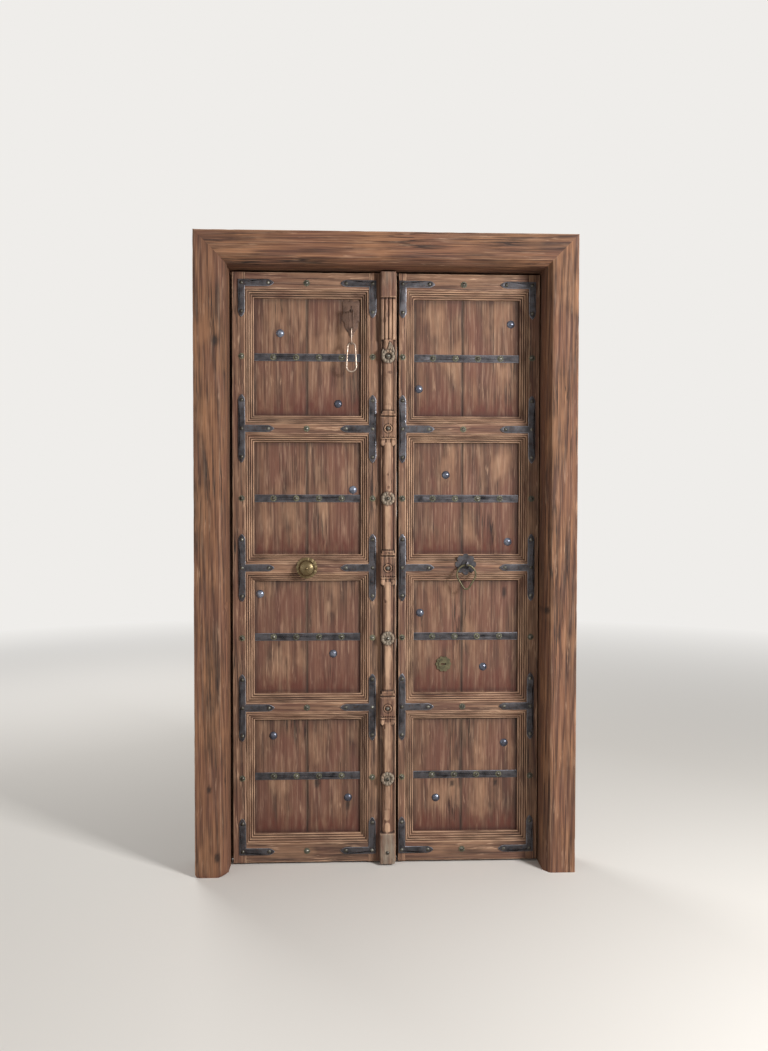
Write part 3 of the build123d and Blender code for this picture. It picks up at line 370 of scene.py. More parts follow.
def bare_places(tree, grain, rubbed):
    """Where the timber is rubbed bare: parts of its edges, and short scratches on its faces; on the carved
    strip its edge value also carries a painted highlight along the bar's crown.
    """
    edge = add(tree, "ShaderNodeAttribute", out="Fac", attribute_name="edge")
    patch = streaks(tree, grain, 22, 90, 5.0)
    scratch = streaks(tree, grain, 3.5, 55, 5.0)
    edge = add(tree, "ShaderNodeMath", {0: patch, 1: edge}, operation="MULTIPLY")
    ranges = ((edge, 0.3, 0.62), (scratch, 0.54, 0.64), (patch, 0.6 - 0.16 * rubbed, 0.74 - 0.16 * rubbed))
    edge, scratch, patch = [
        add(tree, "ShaderNodeMapRange", {"Value": value, "From Min": start, "From Max": full})
        for value, start, full in ranges]
    scratched = add(tree, "ShaderNodeMath", {0: scratch, 1: patch}, operation="MULTIPLY")
    return add(tree, "ShaderNodeMath", {0: edge, 1: scratched}, operation="MAXIMUM")


def beech_material(name, dark, light):
    """Planed beech with fine straight grain, which is hidden in the joints."""
    material, tree, shader = blank_material(name)
    place = add(tree, "ShaderNodeTexCoord", out="Object")
    fibre = streaks(tree, place, 4, 60, 3.0)
    base = add(tree, "ShaderNodeMix", {0: fibre, 6: dark, 7: light}, out=2, data_type="RGBA")
    tree.links.new(base, shader.inputs["Base Color"])
    shader.inputs["Roughness"].default_value = 0.7
    return material


def metal_material(name, body, shade, patina, metallic, roughness, pit, patch):
    """Old metal with a mottled skin: body colour, darker shade in patches, patina in the pits.

    pit and patch are the sizes of the pits and patches in millimetres.
    """
    material, tree, shader = blank_material(name)
    place = add(tree, "ShaderNodeTexCoord", out="Object")
    tone = add(tree, "ShaderNodeAttribute", out="Fac", attribute_name="tone")
    large = streaks(tree, place, patch, patch, 3.0)
    small = streaks(tree, place, pit, pit, 4.0)
    varied = add(tree, "ShaderNodeMath", {0: tone, 1: 0.35, 2: large}, operation="MULTIPLY_ADD")
    base = layered(tree, body, (varied, 0.4, 0.75, 1.0, shade), (small, 0.56, 0.72, 0.8, patina))
    rough = add(tree, "ShaderNodeMapRange", {
        "Value": small, "From Min": 0.3, "From Max": 0.7, "To Min": roughness - 0.1,
        "To Max": roughness + 0.15})
    shader.inputs["Metallic"].default_value = metallic
    surfaced(tree, shader, base, rough, small, 0.35, 0.8)
    return material


def looked_at(tree):
    """1 where the camera, a reflection or glass sees the surface, and 0 where light falls on it."""
    ray = add(tree, "ShaderNodeLightPath", out=None)
    seen = ray["Is Camera Ray"]
    for other in ("Is Glossy Ray", "Is Transmission Ray"):
        seen = add(tree, "ShaderNodeMath", {0: seen, 1: ray[other]}, operation="MAXIMUM")
    return seen


def floor_material(name, near, far):
    """Matt painted floor that fades to the colour of the surroundings away from the door."""
    material, tree, shader = blank_material(name)
    shader.inputs["Base Color"].default_value = near
    shader.inputs["Roughness"].default_value = 0.9
    place = add(tree, "ShaderNodeTexCoord", out="Object")
    reach = add(tree, "ShaderNodeVectorMath", {0: place}, out="Value", operation="LENGTH")
    fade = add(tree, "ShaderNodeMapRange", {"Value": reach, "From Min": FADE_START, "From Max": FADE_END})
    share = add(tree, "ShaderNodeMath", {0: looked_at(tree), 1: fade}, operation="MULTIPLY")
    glow = add(tree, "ShaderNodeEmission", {"Color": far, "Strength": 1.0})
    mixed = add(tree, "ShaderNodeMixShader", {0: share, 1: shader.outputs[0], 2: glow})
    tree.links.new(mixed, tree.nodes["Material Output"].inputs["Surface"])
    return material


MATERIALS = {}
LEAF_COLOURS = ("leaf_dark", "leaf_body", "leaf_light", "worn", "flush", "stain")
FRAME_COLOURS = ("frame_dark", "frame_body", "frame_light", "worn", "flush", "stain")
CARVED_COLOURS = LEAF_COLOURS[:5] + ("#8a7f70",)

# Colours, growth rings and fibres in millimetres, then contrast, cracked, rubbed and mottled
TIMBERS = {
    # Reddish softwood, planed and oiled, with long fibres and open checks
    "oiled_pine_frame": (FRAME_COLOURS, 24, 170, 0.5, 1.0, 0.2, 0.4),
    # Old hardwood, hand moulded, its ribs rubbed pale
    "moulded_teak": (LEAF_COLOURS, 24, 200, 0.55, 0.4, 0.62, 0.5),
    # Wide hand-planed boards with arched figure and a mottled skin
    "planed_teak_board": (LEAF_COLOURS, 42, 240, 0.42, 0.1, 0.3, 0.8),
    # Sawn board that nobody sees from the front
    "sawn_backing_board": (LEAF_COLOURS, 48, 260, 0.45, 0.2, 0.1, 0.2),
    # Carved hardwood, handled until its high parts are pale, with a painted highlight along its bar's crown,
    # and its flowers grey with dirt
    "carved_teak": (CARVED_COLOURS, 18, 110, 0.45, 0.3, 0.8, 0.4),
}

# Body colour, shade, patina, metallic and roughness, then pits and patches in millimetres
METALS = {
    # Iron strap, forged flat and left black, its skin gone brown in places
    "forged_iron": ("iron", "#1f1f22", "rust", 0.75, 0.5, 5, 24),
    # The same iron where it is rubbed along its edges
    "rubbed_iron": ("iron_edge", "iron", "rust", 0.85, 0.42, 4, 30),
    # Cast domed bolt head, rubbed to a bluish shine
    "domed_iron": ("stud", "#4b4e5a", "rust", 0.6, 0.26, 3, 18),
    # Hammered nail head, greenish brown
    "nail_iron": ("#85837a", "#4a4740", "rust", 0.7, 0.36, 3, 10),
    # Bronze rosette washer gone greenish brown
    "tarnished_bronze": ("washer", "#4e4c3e", "#5a6352", 0.35, 0.5, 2.5, 12),
    # Cast brass, brown in its hollows
    "old_brass": ("brass", "#5c4b30", "#39321f", 0.8, 0.28, 5, 22),
    # Brass left to go dull green
    "green_brass": ("#686148", "#3f3a2b", "#545a43", 0.6, 0.45, 4, 14),
    # Thin iron, rusted brown all over
    "rusted_iron": ("#644c3f", "#3b2b23", "rust", 0.45, 0.6, 3, 30),
    # Drawn wire, bent by hand and bright from handling
    "bright_wire": ("wire", "#6d5c50", "rust", 0.9, 0.36, 6, 25),
    # Zinc-plated nuts and washers gone dull
    "dull_zinc": ("#7d7c78", "#55534f", "rust", 0.8, 0.5, 4, 30),
}


def finish_of(name, maker, *values):
    """The material of that name, made the first time that a piece asks for it."""
    if name not in MATERIALS:
        MATERIALS[name] = maker(name, *values)
    return MATERIALS[name]


def chosen(settings, colours):
    """Linear values of colours that are hex codes or names in the settings."""
    return [linear(c) if c.startswith("#") else tuple(getattr(settings, c)) for c in colours]


def timber_finish(context, kind):
    """The timber finish of one kind of piece."""
    colours, *numbers = TIMBERS[kind]
    return finish_of(kind, timber_material, *chosen(context.scene.door_timber, colours), *numbers)


def metal_finish(context, kind):
    """The metal finish of one kind of piece."""
    colours, numbers = METALS[kind][:3], METALS[kind][3:]
    return finish_of(kind, metal_material, *chosen(context.scene.door_metal, colours), *numbers)


# Shapes

def drift(seed, across, along):
    """A smooth random field between -1 and 1, with one bump for each unit of its coordinates."""
    size = 64
    table = np.random.default_rng(seed).uniform(-1, 1, (size, size))
    column = np.floor(across).astype(int)
    row = np.floor(along).astype(int)
    fx = across - column
    fy = along - row
    fx = fx * fx * (3 - 2 * fx)
    fy = fy * fy * (3 - 2 * fy)
    near, far = [
        table[column % size, line % size] * (1 - fx) + table[(column + 1) % size, line % size] * fx
        for line in (row, row + 1)]
    return near * (1 - fy) + far * fy


def unit(vector):
    """A vector of length 1."""
    return vector / np.linalg.norm(vector)


def worn_outline(corners, radius, step):
    """A closed outline, anticlockwise, with its sharp corners rounded and its sides divided.

    Returns the points, their outward normals and how proud each stands of its neighbours, -1 to 1.
    """
    corners = np.array(corners, float)
    points = []
    for number, here in enumerate(corners):
        before = corners[number - 1] - here
        after = corners[(number + 1) % len(corners)] - here
        sharp = np.dot(unit(before), unit(after)) > -0.9
        proud = before[1] * after[0] - before[0] * after[1] > 0
        cut = min(radius, 0.4 * np.linalg.norm(before), 0.4 * np.linalg.norm(after))
        if sharp and proud and cut > 0:
            start = here + unit(before) * cut
            end = here + unit(after) * cut
            points += [start, (start + end + 2 * here) / 4, end]
        else:
            points.append(here)
    divided = []
    for number, here in enumerate(points):
        after = points[(number + 1) % len(points)]
        parts = max(1, math.ceil(np.linalg.norm(after - here) / step))
        divided += [here + (after - here) * part / parts for part in range(parts)]
    points = np.array(divided)
    along = np.roll(points, -1, axis=0) - np.roll(points, 1, axis=0)
    along /= np.linalg.norm(along, axis=1)[:, None]
    normals = np.stack([along[:, 1], -along[:, 0]], axis=1)
    return points, normals, prominence(points, normals)


def prominence(points, normals, reach=3.5 * MM, full=1.0 * MM):
    """How far each point of a closed outline stands proud of the outline a little way off, -1 to 1."""
    sides = np.linalg.norm(np.roll(points, -1, axis=0) - points, axis=1)
    place = np.concatenate([[0], np.cumsum(sides)])
    closed = np.vstack([points, points[:1]])
    total = 0
    for offset in (-reach, reach):
        at = (place[:-1] + offset) % place[-1]
        moved = np.stack([np.interp(at, place, closed[:, axis]) for axis in (0, 1)], axis=1)
        total = total + np.sum((points - moved) * normals, axis=1)
    return np.clip(total / (2 * full), -1, 1)


def tube_faces(rows, columns, inside_out=False):
    """Faces of a closed tube of so many rings of points, with a cap at each end."""
    index = np.arange(rows * columns).reshape(rows, columns)
    around = np.roll(index, -1, axis=1)
    quads = np.stack([index[:-1], around[:-1], around[1:], index[1:]], axis=-1).reshape(-1, 4)
    faces = quads.tolist() + [index[0][::-1].tolist(), index[-1].tolist()]
    return [face[::-1] for face in faces] if inside_out else faces


def run(outline, start, end, place, wear, seed, rings=None, shape=None):
    """One closed length of timber: an outline (u, v) run along the grain, rippled and knocked.

    start and end give the length at each u, so mitres and square ends are alike. place is the origin
    and the directions of u, v and the grain. shape may move the points (u, v, length) further.
    """
    points, normals, relief = outline
    origin, across, out, way = place
    u, v = points.T
    low, high = start(u), end(u)
    if rings is None:
        rings = np.linspace(0, 1, max(2, math.ceil(np.max(high - low) / wear.ring_step)) + 1)
    length = low + (high - low) * rings[:, None]
    girth = np.concatenate([[0], np.cumsum(np.linalg.norm(np.diff(points, axis=0), axis=1))])
    girth = np.broadcast_to(girth, length.shape)
    ripple = 0.5 + 0.5 * drift(seed, girth / (RIPPLE_ACROSS * MM), length / (RIPPLE_ALONG * MM))
    knock = drift(seed + 1, girth / (KNOCK_ACROSS * MM), length / (KNOCK_ALONG * MM))
    knock = np.clip(knock - 0.35, 0, 1)
    proud = np.maximum(relief, 0)
    ends = np.minimum(rings, 1 - rings)[:, None] < 1e-6
    depth = np.where(ends, 0, wear.ripple * ripple + wear.chip * proud * knock)
    uu = u - normals[:, 0] * depth
    vv = v - normals[:, 1] * depth
    if shape is not None:
        uu, vv = shape(uu, vv, length)
    solid = np.array(origin) + uu[..., None] * across + vv[..., None] * out + length[..., None] * way
    grain = np.stack(np.broadcast_arrays(u, v, length), axis=-1)
    return {
        "points": solid.reshape(-1, 3),
        "faces": tube_faces(*length.shape, np.dot(np.cross(across, out), way) < 0),
        "grain": grain.reshape(-1, 3) + np.random.default_rng(seed + 2).uniform(-8, 8, 3),
        "edge": np.broadcast_to(proud, length.shape).ravel(),
        # Painted shade, with dirt, in the hollows of the section, darker where it is sunk deeper
        "dirt": np.broadcast_to(0.34 * np.maximum(-relief, 0), length.shape).ravel(),
    }


def knotted(shell, node, extra=0.0):
    """Darkens a shell at its node's knots, where its front is sunk a little, and adds other darkening: dirt
    with painted shade.
    """
    points = shell["points"]
    dark = np.zeros(len(points))
    for across, up, half_width, half_height in KNOTS.get(node, []):
        x, z = points[:, 0] / MM - across, points[:, 2] / MM - up
        away = (x / half_width) ** 2 + (z / half_height) ** 2
        dark = np.maximum(dark, np.clip(1.5 - away, 0, 1))
    front = points[:, 1] < points[:, 1].min() + KNOT_DEPTH * MM
    points[:, 1] += KNOT_DEPTH * MM * dark * front
    shell["dirt"] = np.clip(np.maximum(np.maximum(shell["dirt"], dark), extra), 0, 1)


def joined(shells):
    """Several shells as one, with their faces renumbered."""
    offset = 0
    faces = []
    for shell in shells:
        faces += [[corner + offset for corner in face] for face in shell["faces"]]
        offset += len(shell["points"])
    keys = [key for key in shells[0] if key != "faces"]
    return {"faces": faces, **{key: np.concatenate([shell[key] for shell in shells]) for key in keys}}


def placed(name, data):
    """A new object of some data, put in the scene."""
    made = bpy.data.objects.new(name, data)
    bpy.context.scene.collection.objects.link(made)
    return made


def paint(mesh, materials):
    """Gives a mesh its materials, in place of others."""
    mesh.materials.clear()
    for material in materials:
        mesh.materials.append(material)


def shade(mesh, sharp):
    """Smooth shading, but at edges that turn by more than an angle in degrees."""
    mesh.polygons.foreach_set("use_smooth", [True] * len(mesh.polygons))
    mesh.set_sharp_from_angle(angle=math.radians(sharp))


def mesh_object(name, shell, materials, sharp=38):
    """An object from a shell's points, faces and named attributes."""
    mesh = bpy.data.meshes.new(name)
    mesh.from_pydata(shell["points"].tolist(), [], shell["faces"])
    for key, values in shell.items():
        if key in ("points", "faces"):
            continue
        kind, field = ("FLOAT_VECTOR", "vector") if np.ndim(values) == 2 else ("FLOAT", "value")
        attribute = mesh.attributes.new(key, kind, "POINT")
        attribute.data.foreach_set(field, np.ravel(values).astype(np.float32))
    paint(mesh, materials)
    shade(mesh, sharp)
    mesh.update()
    return placed(name, mesh)


def stand_in(made, node):
    """A piece stands for a CAD node: it rides on the node's body, and the node is hidden."""
    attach(made, frame["nodes"][node]["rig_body"])
    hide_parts(node)


def dress(node, material):
    """Gives a CAD node that stays its finish."""
    paint(frame["nodes"][node].data, [material])


def timber_piece(context, shell, node, kind, stained, ending="aged"):
    """A timber shell, stained evenly or by point, as the piece that stands for its node."""
    shell["stained"] = np.broadcast_to(stained, len(shell["points"]))
    stand_in(mesh_object(f"{node}_{ending}", shell, [timber_finish(context, kind)]), node)


def box_of(node):
    """Lowest and highest corners of a node as arrays, in metres."""
    low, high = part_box(node)
    return np.array(low), np.array(high)


def fading(distance, width):
    """1 where a distance in metres is 0, down to 0 where it reaches a width in millimetres."""
    return np.clip(1 - distance / (width * MM), 0, 1)


def seed_of(name):
    """The same number each run for a name."""
    return sum((place + 1) * ord(letter) for place, letter in enumerate(name))


def constant(value):
    """A square end at one length."""
    return lambda u: np.full_like(u, value)


# Timber pieces

def frame_outline(wear):
    """Section of a frame timber, from its outer side and its front."""
    low, high = box_of("left_jamb")
    width = (high - low)[0] / MM
    rebate = FRAME_DEPTH - REBATE_DEPTH
    corners = [
        (0, 0), (width - BEVEL_WIDTH, 0), (width, BEVEL_DEPTH), (width, rebate),
        (width - REBATE_WIDTH, rebate), (width - REBATE_WIDTH, FRAME_DEPTH), (0, FRAME_DEPTH)]
    return worn_outline([(u * MM, v * MM) for u, v in corners], 2 * wear.arris, wear.side_step)


def damage(width):
    """The broken notch and the worn foot of the left jamb, as a move of its points."""
    def shape(u, v, length):
        inner = np.clip((u / MM - width + 2 * NOTCH_DEPTH) / (2 * NOTCH_DEPTH), 0, 1)
        level = np.clip(1 - ((length / MM - NOTCH_MIDDLE) / (NOTCH_LENGTH / 2)) ** 2, 0, 1)
        front = np.clip(1 - ((v / MM - BEVEL_DEPTH) / NOTCH_DEPTH) ** 2, 0, 1)
        u = u - NOTCH_DEPTH * MM * inner * np.sqrt(level) * front
        low = np.clip(FOOT_RADIUS - length / MM, 0, FOOT_RADIUS)
        inset = (FOOT_RADIUS - np.sqrt(FOOT_RADIUS**2 - low**2)) * MM * (v / MM < FOOT_DEPTH)
        centre = width * MM / 2
        return centre + (u - centre) * (1 - inset / centre), v
    return shape


def jamb(context, side):
    """One jamb with its mitred top."""
    wear = context.scene.door_timber
    left = side < 0
    name = "left_jamb" if left else "right_jamb"
    low, high = box_of(name)
    place = (low[0] if left else high[0], low[1], 0), -side * X, Y, Z
    fine = FOOT_RINGS + tuple(NOTCH_MIDDLE + level for level in NOTCH_RINGS)
    rings = np.concatenate([np.arange(0, 1, wear.ring_step / high[2]), [1.0], np.array(fine) * MM / high[2]])
    shell = run(frame_outline(wear), constant(0.0), lambda u: high[2] - u, place, wear, seed_of(name),
                np.unique(rings), damage((high - low)[0] / MM) if left else None)
    foot = fading(shell["points"][:, 2], FOOT_DEPTH)
    knotted(shell, name)
    timber_piece(context, shell, name, "oiled_pine_frame", 0.6 * foot if left else 0.0)


def head(context):
    """The head of the frame, mitred at both ends."""
    wear = context.scene.door_timber
    low, high = box_of("head")
    place = (0, low[1], high[2]), -Z, Y, X
    shell = run(frame_outline(wear), lambda u: low[0] + u, lambda u: high[0] - u, place, wear,
                seed_of("head"))
    timber_piece(context, shell, "head", "oiled_pine_frame", 0.0)


def panel_levels(leaf):
    """Bottom and top of each panel of a leaf, from the floor up, from the boxes of its rails."""
    boxes = [box_of(f"{leaf}_{rail}") for rail in RAILS]
    return [(lower[1][2], upper[0][2]) for lower, upper in zip(boxes, boxes[1:])]


def panel_sides(leaf):
    """Left and right edges of the panels of a leaf."""
    stiles = [box_of(f"{leaf}_{name}_stile") for name in ("hanging", "meeting")]
    left, right = sorted(stiles, key=lambda box: box[0][0])
    return left[1][0], right[0][0]


def moulding_outline():
    """Ribbed section: u from the flat towards the panel, v the height above the panel."""
    pitch = MOULDING_WIDTH / MOULDING_RIBS
    drop = (MOULDING_TOP - MOULDING_FOOT) / (MOULDING_RIBS - 1)
    points = [(0, 0), (0, MOULDING_TOP)]
    for rib in range(MOULDING_RIBS):
        height = MOULDING_TOP - rib * drop
        crown = rib * pitch + QUIRK
        points.append((rib * pitch + 0.01, height))
        for part in range(RIB_PARTS + 1):
            turn = part / RIB_PARTS
            points.append((crown + (pitch - QUIRK) * turn, height + RIB_RISE * math.sin(math.pi * turn)))
    points.append((MOULDING_WIDTH, 0))
    return worn_outline([(u * MM, v * MM) for u, v in points[::-1]], 0, MOULDING_STEP * MM)


def moulding(leaf, towards, panel, wear, levels, sides, back):
    """Moulding on one side of a panel, mitred at its ends."""
    m = MOULDING_WIDTH * MM
    z0, z1 = levels[panel]
    x0, x1 = sides
    if towards[2] == 0:
        origin = (x0 - m if towards[0] > 0 else x1 + m, back, 0)
        start, end, way = z0, z1, Z
    else:
        origin = (0, back, z0 - m if towards[2] > 0 else z1 + m)
        start, end, way = x0, x1, X
    return run(moulding_outline(), lambda u: start - (m - u), lambda u: end + (m - u),
               (origin, np.array(towards, float), -Y, way), wear, seed_of(f"{leaf}{panel}{towards}"))


def board(low, high, upright, wear, seed, radius=None, step=None):
    """A plain board between two corners, with its grain along Z where it is upright, or else along X."""
    across, along = (0, 2) if upright else (2, 0)
    width, depth = (high - low)[across], (high - low)[1]
    corners = [(0, 0), (width, 0), (width, depth), (0, depth)]
    outline = worn_outline(corners, wear.arris if radius is None else radius, step or wear.side_step)
    place = low * (1 - AXES[along]), AXES[across], Y, AXES[along]
    return run(outline, constant(low[along]), constant(high[along]), place, wear, seed)


def joinery(context, leaf, name, levels, sides):
    """A stile or a rail with its share of the mouldings."""
    wear = context.scene.door_timber
    node = f"{leaf}_{name}"
    low, high = box_of(node)
    back = high[1]
    m = MOULDING_WIDTH * MM
    if name in RAILS:
        number = RAILS.index(name)
        under, over = number > 0, number < len(levels)
        low, high = low + m * under * Z, high - m * over * Z
        bars = [((0, 0, -1), number - 1)] * under + [((0, 0, 1), number)] * over
    else:
        at_left = high[0] <= sides[0] + 1e-5
        low, high = low + m * (not at_left) * X, high - m * at_left * X
        bars = [((1 if at_left else -1, 0, 0), panel) for panel in range(len(levels))]
    shells = [board(low, high, name not in RAILS, wear, seed_of(node))]
    shells += [moulding(leaf, towards, panel, wear, levels, sides, back) for towards, panel in bars]
    timber_piece(context, joined(shells), node, "moulded_teak", 0.25)


def plank(context, leaf, name, levels, sides):
    """One full-height plank, darkened with dirt and painted shade at the edges of each panel, dark along its
    joint, and reddish along its bottom.
    """
    wear = context.scene.door_timber
    node = f"{leaf}_{name}"
    low, high = box_of(node)
    shell = board(low, high, True, wear, seed_of(node), PLANK_ARRIS * MM, PLANK_STEP * MM)
    x, _, z = shell["points"].T.copy()
    above = np.full(len(z), 1.0)
    below = np.full(len(z), 1.0)
    for z0, z1 in levels:
        inside = (z >= z0) & (z <= z1)
        above = np.where(inside, z - z0, above)
        below = np.where(inside, z1 - z, below)
    near = np.minimum(np.minimum(above, below), np.minimum(x - sides[0], sides[1] - x))
    at_joint = np.minimum(x - low[0], high[0] - x) < JOINT_WIDTH * MM
    # Painted shade with dirt along the edges of each panel, where the mouldings stand over it, and a dark
    # joint between the planks
    dirt = 0.55 * fading(near, DIRT_AND_SHADE_WIDTH) + 0.22 * fading(near, DUST_AND_SHADE_WIDTH) + 0.9 * at_joint
    knotted(shell, node, dirt)
    stained = 0.4 + 0.6 * fading(above, STAIN_HEIGHT)
    timber_piece(context, shell, node, "planed_teak_board", stained)


def backing(context, leaf):
    """The board behind the planks, which reaches towards the other leaf's so that no light shows between."""
    node = f"{leaf}_backing"
    low, high = box_of(node)
    if leaf == "left_leaf":
        high[0] += BACKING_REACH * MM
    else:
        low[0] -= BACKING_REACH * MM
    shell = board(low, high, True, context.scene.door_timber, seed_of(node), step=BACKING_STEP * MM)
    timber_piece(context, shell, node, "sawn_backing_board", 0.1)


# Carved cover strip, in millimetres: heights above the stile, and lengths

STRIP_BASE = 9
STRIP_BAR = 25
STRIP_BEAD = 7
STRIP_CAP = 30
STRIP_BODY = 27.5
BEAD_RISE = 3.5
REED_BASE = 15
REED_RISE = 8
TOP_BLOCK = 88
REEDED_LENGTH = 142
BOTTOM_BLOCK = 105
ARRIS_WIDTH = 4
ARRIS_DEPTH = 3
STRIP_RIPPLE = 0.5
STRIP_CHIP = 5

# Its carved blocks: cap with a step, sunk line, ring between grooves, zigzag and petals
BLOCK_LENGTH = 120
CAP_LENGTH = 15
STEP_LENGTH = 7
STEP_INSET = 5
LINE_LEVEL = 21
LINE_DROP = 3
LINE_REACH = 2.5
RING_RADIUS = 12
RING_REACH = 2.5
GROOVE_LEVEL = 24.5
GROOVE_AWAY = 3.8
GROOVE_REACH = 1.3
ZIGZAG_LEVEL = 22
ZIGZAG_RISE = 5
ZIGZAG_SWING = 1.5
ZIGZAG_PITCH = 4
ZIGZAG_REACH = 1.6
PETALS = 3
PETAL_LENGTH = 24
PETAL_BASE = 17
PETAL_RISE = 7

# Its flowers, and the leaf over the last one, whose foot and tip are heights from that flower's middle
FLOWER_RADIUS = 24
FLOWER_LOBES = 11
FLOWER_BASE = 18
LOBE_RISE = 11.5
MIDDLE_RISE = 8
LEAF_LEVEL = 29.5
LEAF_FOOT = -6
LEAF_TIP = 50
LEAF_WIDTH = 25.5
CURL_FOOT = 8
CURL_TIP = 27
VEINS = 3
VEIN_DEPTH = 9

# Columns and rows of points on the strip's front
STRIP_COLUMNS = 45
STRIP_ROWS = 1000


def half_round(x, half, base, rise):
    """Height of a half-round bar."""
    return base + rise * np.sqrt(np.clip(1 - (x / half) ** 2, 0, 1))


def bar_height(x, half_width):
    """Half-round bar between two beads."""
    side = np.abs(x)
    bar = half_round(x, half_width - STRIP_BEAD, STRIP_BASE, STRIP_BAR - STRIP_BASE)
    bead = half_round(side - (half_width - STRIP_BEAD / 2), STRIP_BEAD / 2, STRIP_BASE, BEAD_RISE)
    return np.where(side < half_width - STRIP_BEAD, bar, bead)


def reed_height(x, half_width):
    """Four fine reeds."""
    pitch = half_width / 2
    return half_round((x + half_width) % pitch - pitch / 2, pitch / 2, REED_BASE, REED_RISE)


def flower_height(x, z):
    """Round flower: a scalloped ring of lobes, a sunk channel and a small raised middle."""
    radius = np.hypot(x, z) / FLOWER_RADIUS
    lobes = np.abs(np.cos(FLOWER_LOBES / 2 * np.arctan2(z, x)))
    ring = np.sqrt(np.clip(1 - ((radius - 0.74) / 0.27) ** 2, 0, 1)) * (0.55 + 0.45 * lobes**0.7)
    middle = np.sqrt(np.clip(1 - (radius / 0.34) ** 2, 0, 1))
    height = FLOWER_BASE + LOBE_RISE * ring + MIDDLE_RISE * middle
    return np.where(radius < 0.95 + 0.06 * lobes, np.minimum(height, STRIP_CAP), 0)


def leaf_height(x, z):
    """Pointed leaf that curls up from the flower to a tip, with a small curl at its left."""
    rise = np.clip((z - LEAF_FOOT) / (LEAF_TIP - LEAF_FOOT), 0, 1)
    right = LEAF_WIDTH * np.cos(rise * math.pi / 2) ** 0.5
    left = -16 + 21 * rise**0.8
    inside = (x < right) & (x > left) & (z > LEAF_FOOT) & (z < LEAF_TIP)
    curl = (x > -23 + 0.2 * (z - CURL_FOOT)) & (x < -20 + 0.8 * (28 - z)) & (z > CURL_FOOT) & (z < CURL_TIP)
    vein = np.abs(((x - left) / np.maximum(right - left, 1) * VEINS) % 1 - 0.5)
    return np.where(inside | curl, LEAF_LEVEL - VEIN_DEPTH * np.clip(vein - 0.2, 0, 1), 0)


def worn_side(x, half_width):
    """How far the long arrises of the strip's blocks are worn down."""
    return ARRIS_DEPTH * np.clip((np.abs(x) - half_width + ARRIS_WIDTH) / ARRIS_WIDTH, 0, 1)


def block_height(x, z, half_width):
    """Carved block: stepped cap, plain body with a sunk line, ring and zigzag, and petals below."""
    half = BLOCK_LENGTH / 2
    body_bottom = -half + PETAL_LENGTH
    body = (z < half - CAP_LENGTH) & (z > body_bottom)
    height = np.where(body, STRIP_BODY - worn_side(x, half_width), 0)
    side = half_width - STEP_INSET * (z > half - STEP_LENGTH)
    cap = (z >= half - CAP_LENGTH) & (z < half) & (np.abs(x) < side)
    height = np.where(cap, STRIP_CAP, height)
    line = np.abs(z - half + CAP_LENGTH + LINE_DROP) < LINE_REACH
    height = np.where(line, LINE_LEVEL, height)
    away = np.abs(np.hypot(x, z) - RING_RADIUS)
    height = np.where(away < RING_REACH, STRIP_CAP - 0.3, height)
    height = np.where(np.abs(away - GROOVE_AWAY) < GROOVE_REACH, GROOVE_LEVEL, height)
    swing = ZIGZAG_SWING * np.abs((x / ZIGZAG_PITCH) % 2 - 1)
    height = np.where(np.abs(z - body_bottom - ZIGZAG_RISE - swing) < ZIGZAG_REACH, ZIGZAG_LEVEL, height)
    pitch = 2 * half_width / PETALS
    within = (x + half_width) % pitch - pitch / 2
    foot = -half + PETAL_LENGTH * 0.35 * (within / (pitch / 2)) ** 2
    petal = (z <= body_bottom) & (z > foot)
    return np.where(petal, half_round(within, pitch / 2, PETAL_BASE, PETAL_RISE), height)


def reeded_part(z, top):
    """Where the strip is reeded, below its plain top block."""
    return (z < top - TOP_BLOCK) & (z > top - TOP_BLOCK - REEDED_LENGTH)


def strip_heights(x, z, half_width, bottom, top, blocks, flowers):
    """Height of the whole strip at x from its middle and z from the floor; a leaf tops the last flower."""
    height = np.where(reeded_part(z, top), reed_height(x, half_width), bar_height(x, half_width))
    ends = (z >= top - TOP_BLOCK) | (z <= bottom + BOTTOM_BLOCK)
    height = np.where(ends, STRIP_CAP - worn_side(x, half_width), height)
    for level in blocks:
        block = block_height(x, z - level, half_width)
        near = np.abs(z - level) < (BLOCK_LENGTH - PETAL_LENGTH) / 2
        height = np.where(near, block, np.maximum(height, block))
    for level in flowers[:-1]:
        height = np.maximum(height, flower_height(x, z - level))
    height = np.maximum(height, leaf_height(x, z - flowers[-1]))
    flower = flower_height(x, z - flowers[-1])
    return np.where(flower > 0, flower, height)


def weathered(height, x, z):
    """The strip's heights, softened, rippled and chipped."""
    height = 0.5 * height + 0.25 * (np.roll(height, 1, 0) + np.roll(height, -1, 0))
    height = height - STRIP_RIPPLE * (0.5 + 0.5 * drift(seed_of("strip"), x / 3, z / 120))
    chip = np.clip(drift(seed_of("chips"), x / 14, z / 22) - 0.55, 0, 1)
    height = height - STRIP_CHIP * chip * (height > 20)
    return np.minimum(height, STRIP_CAP - 0.2)


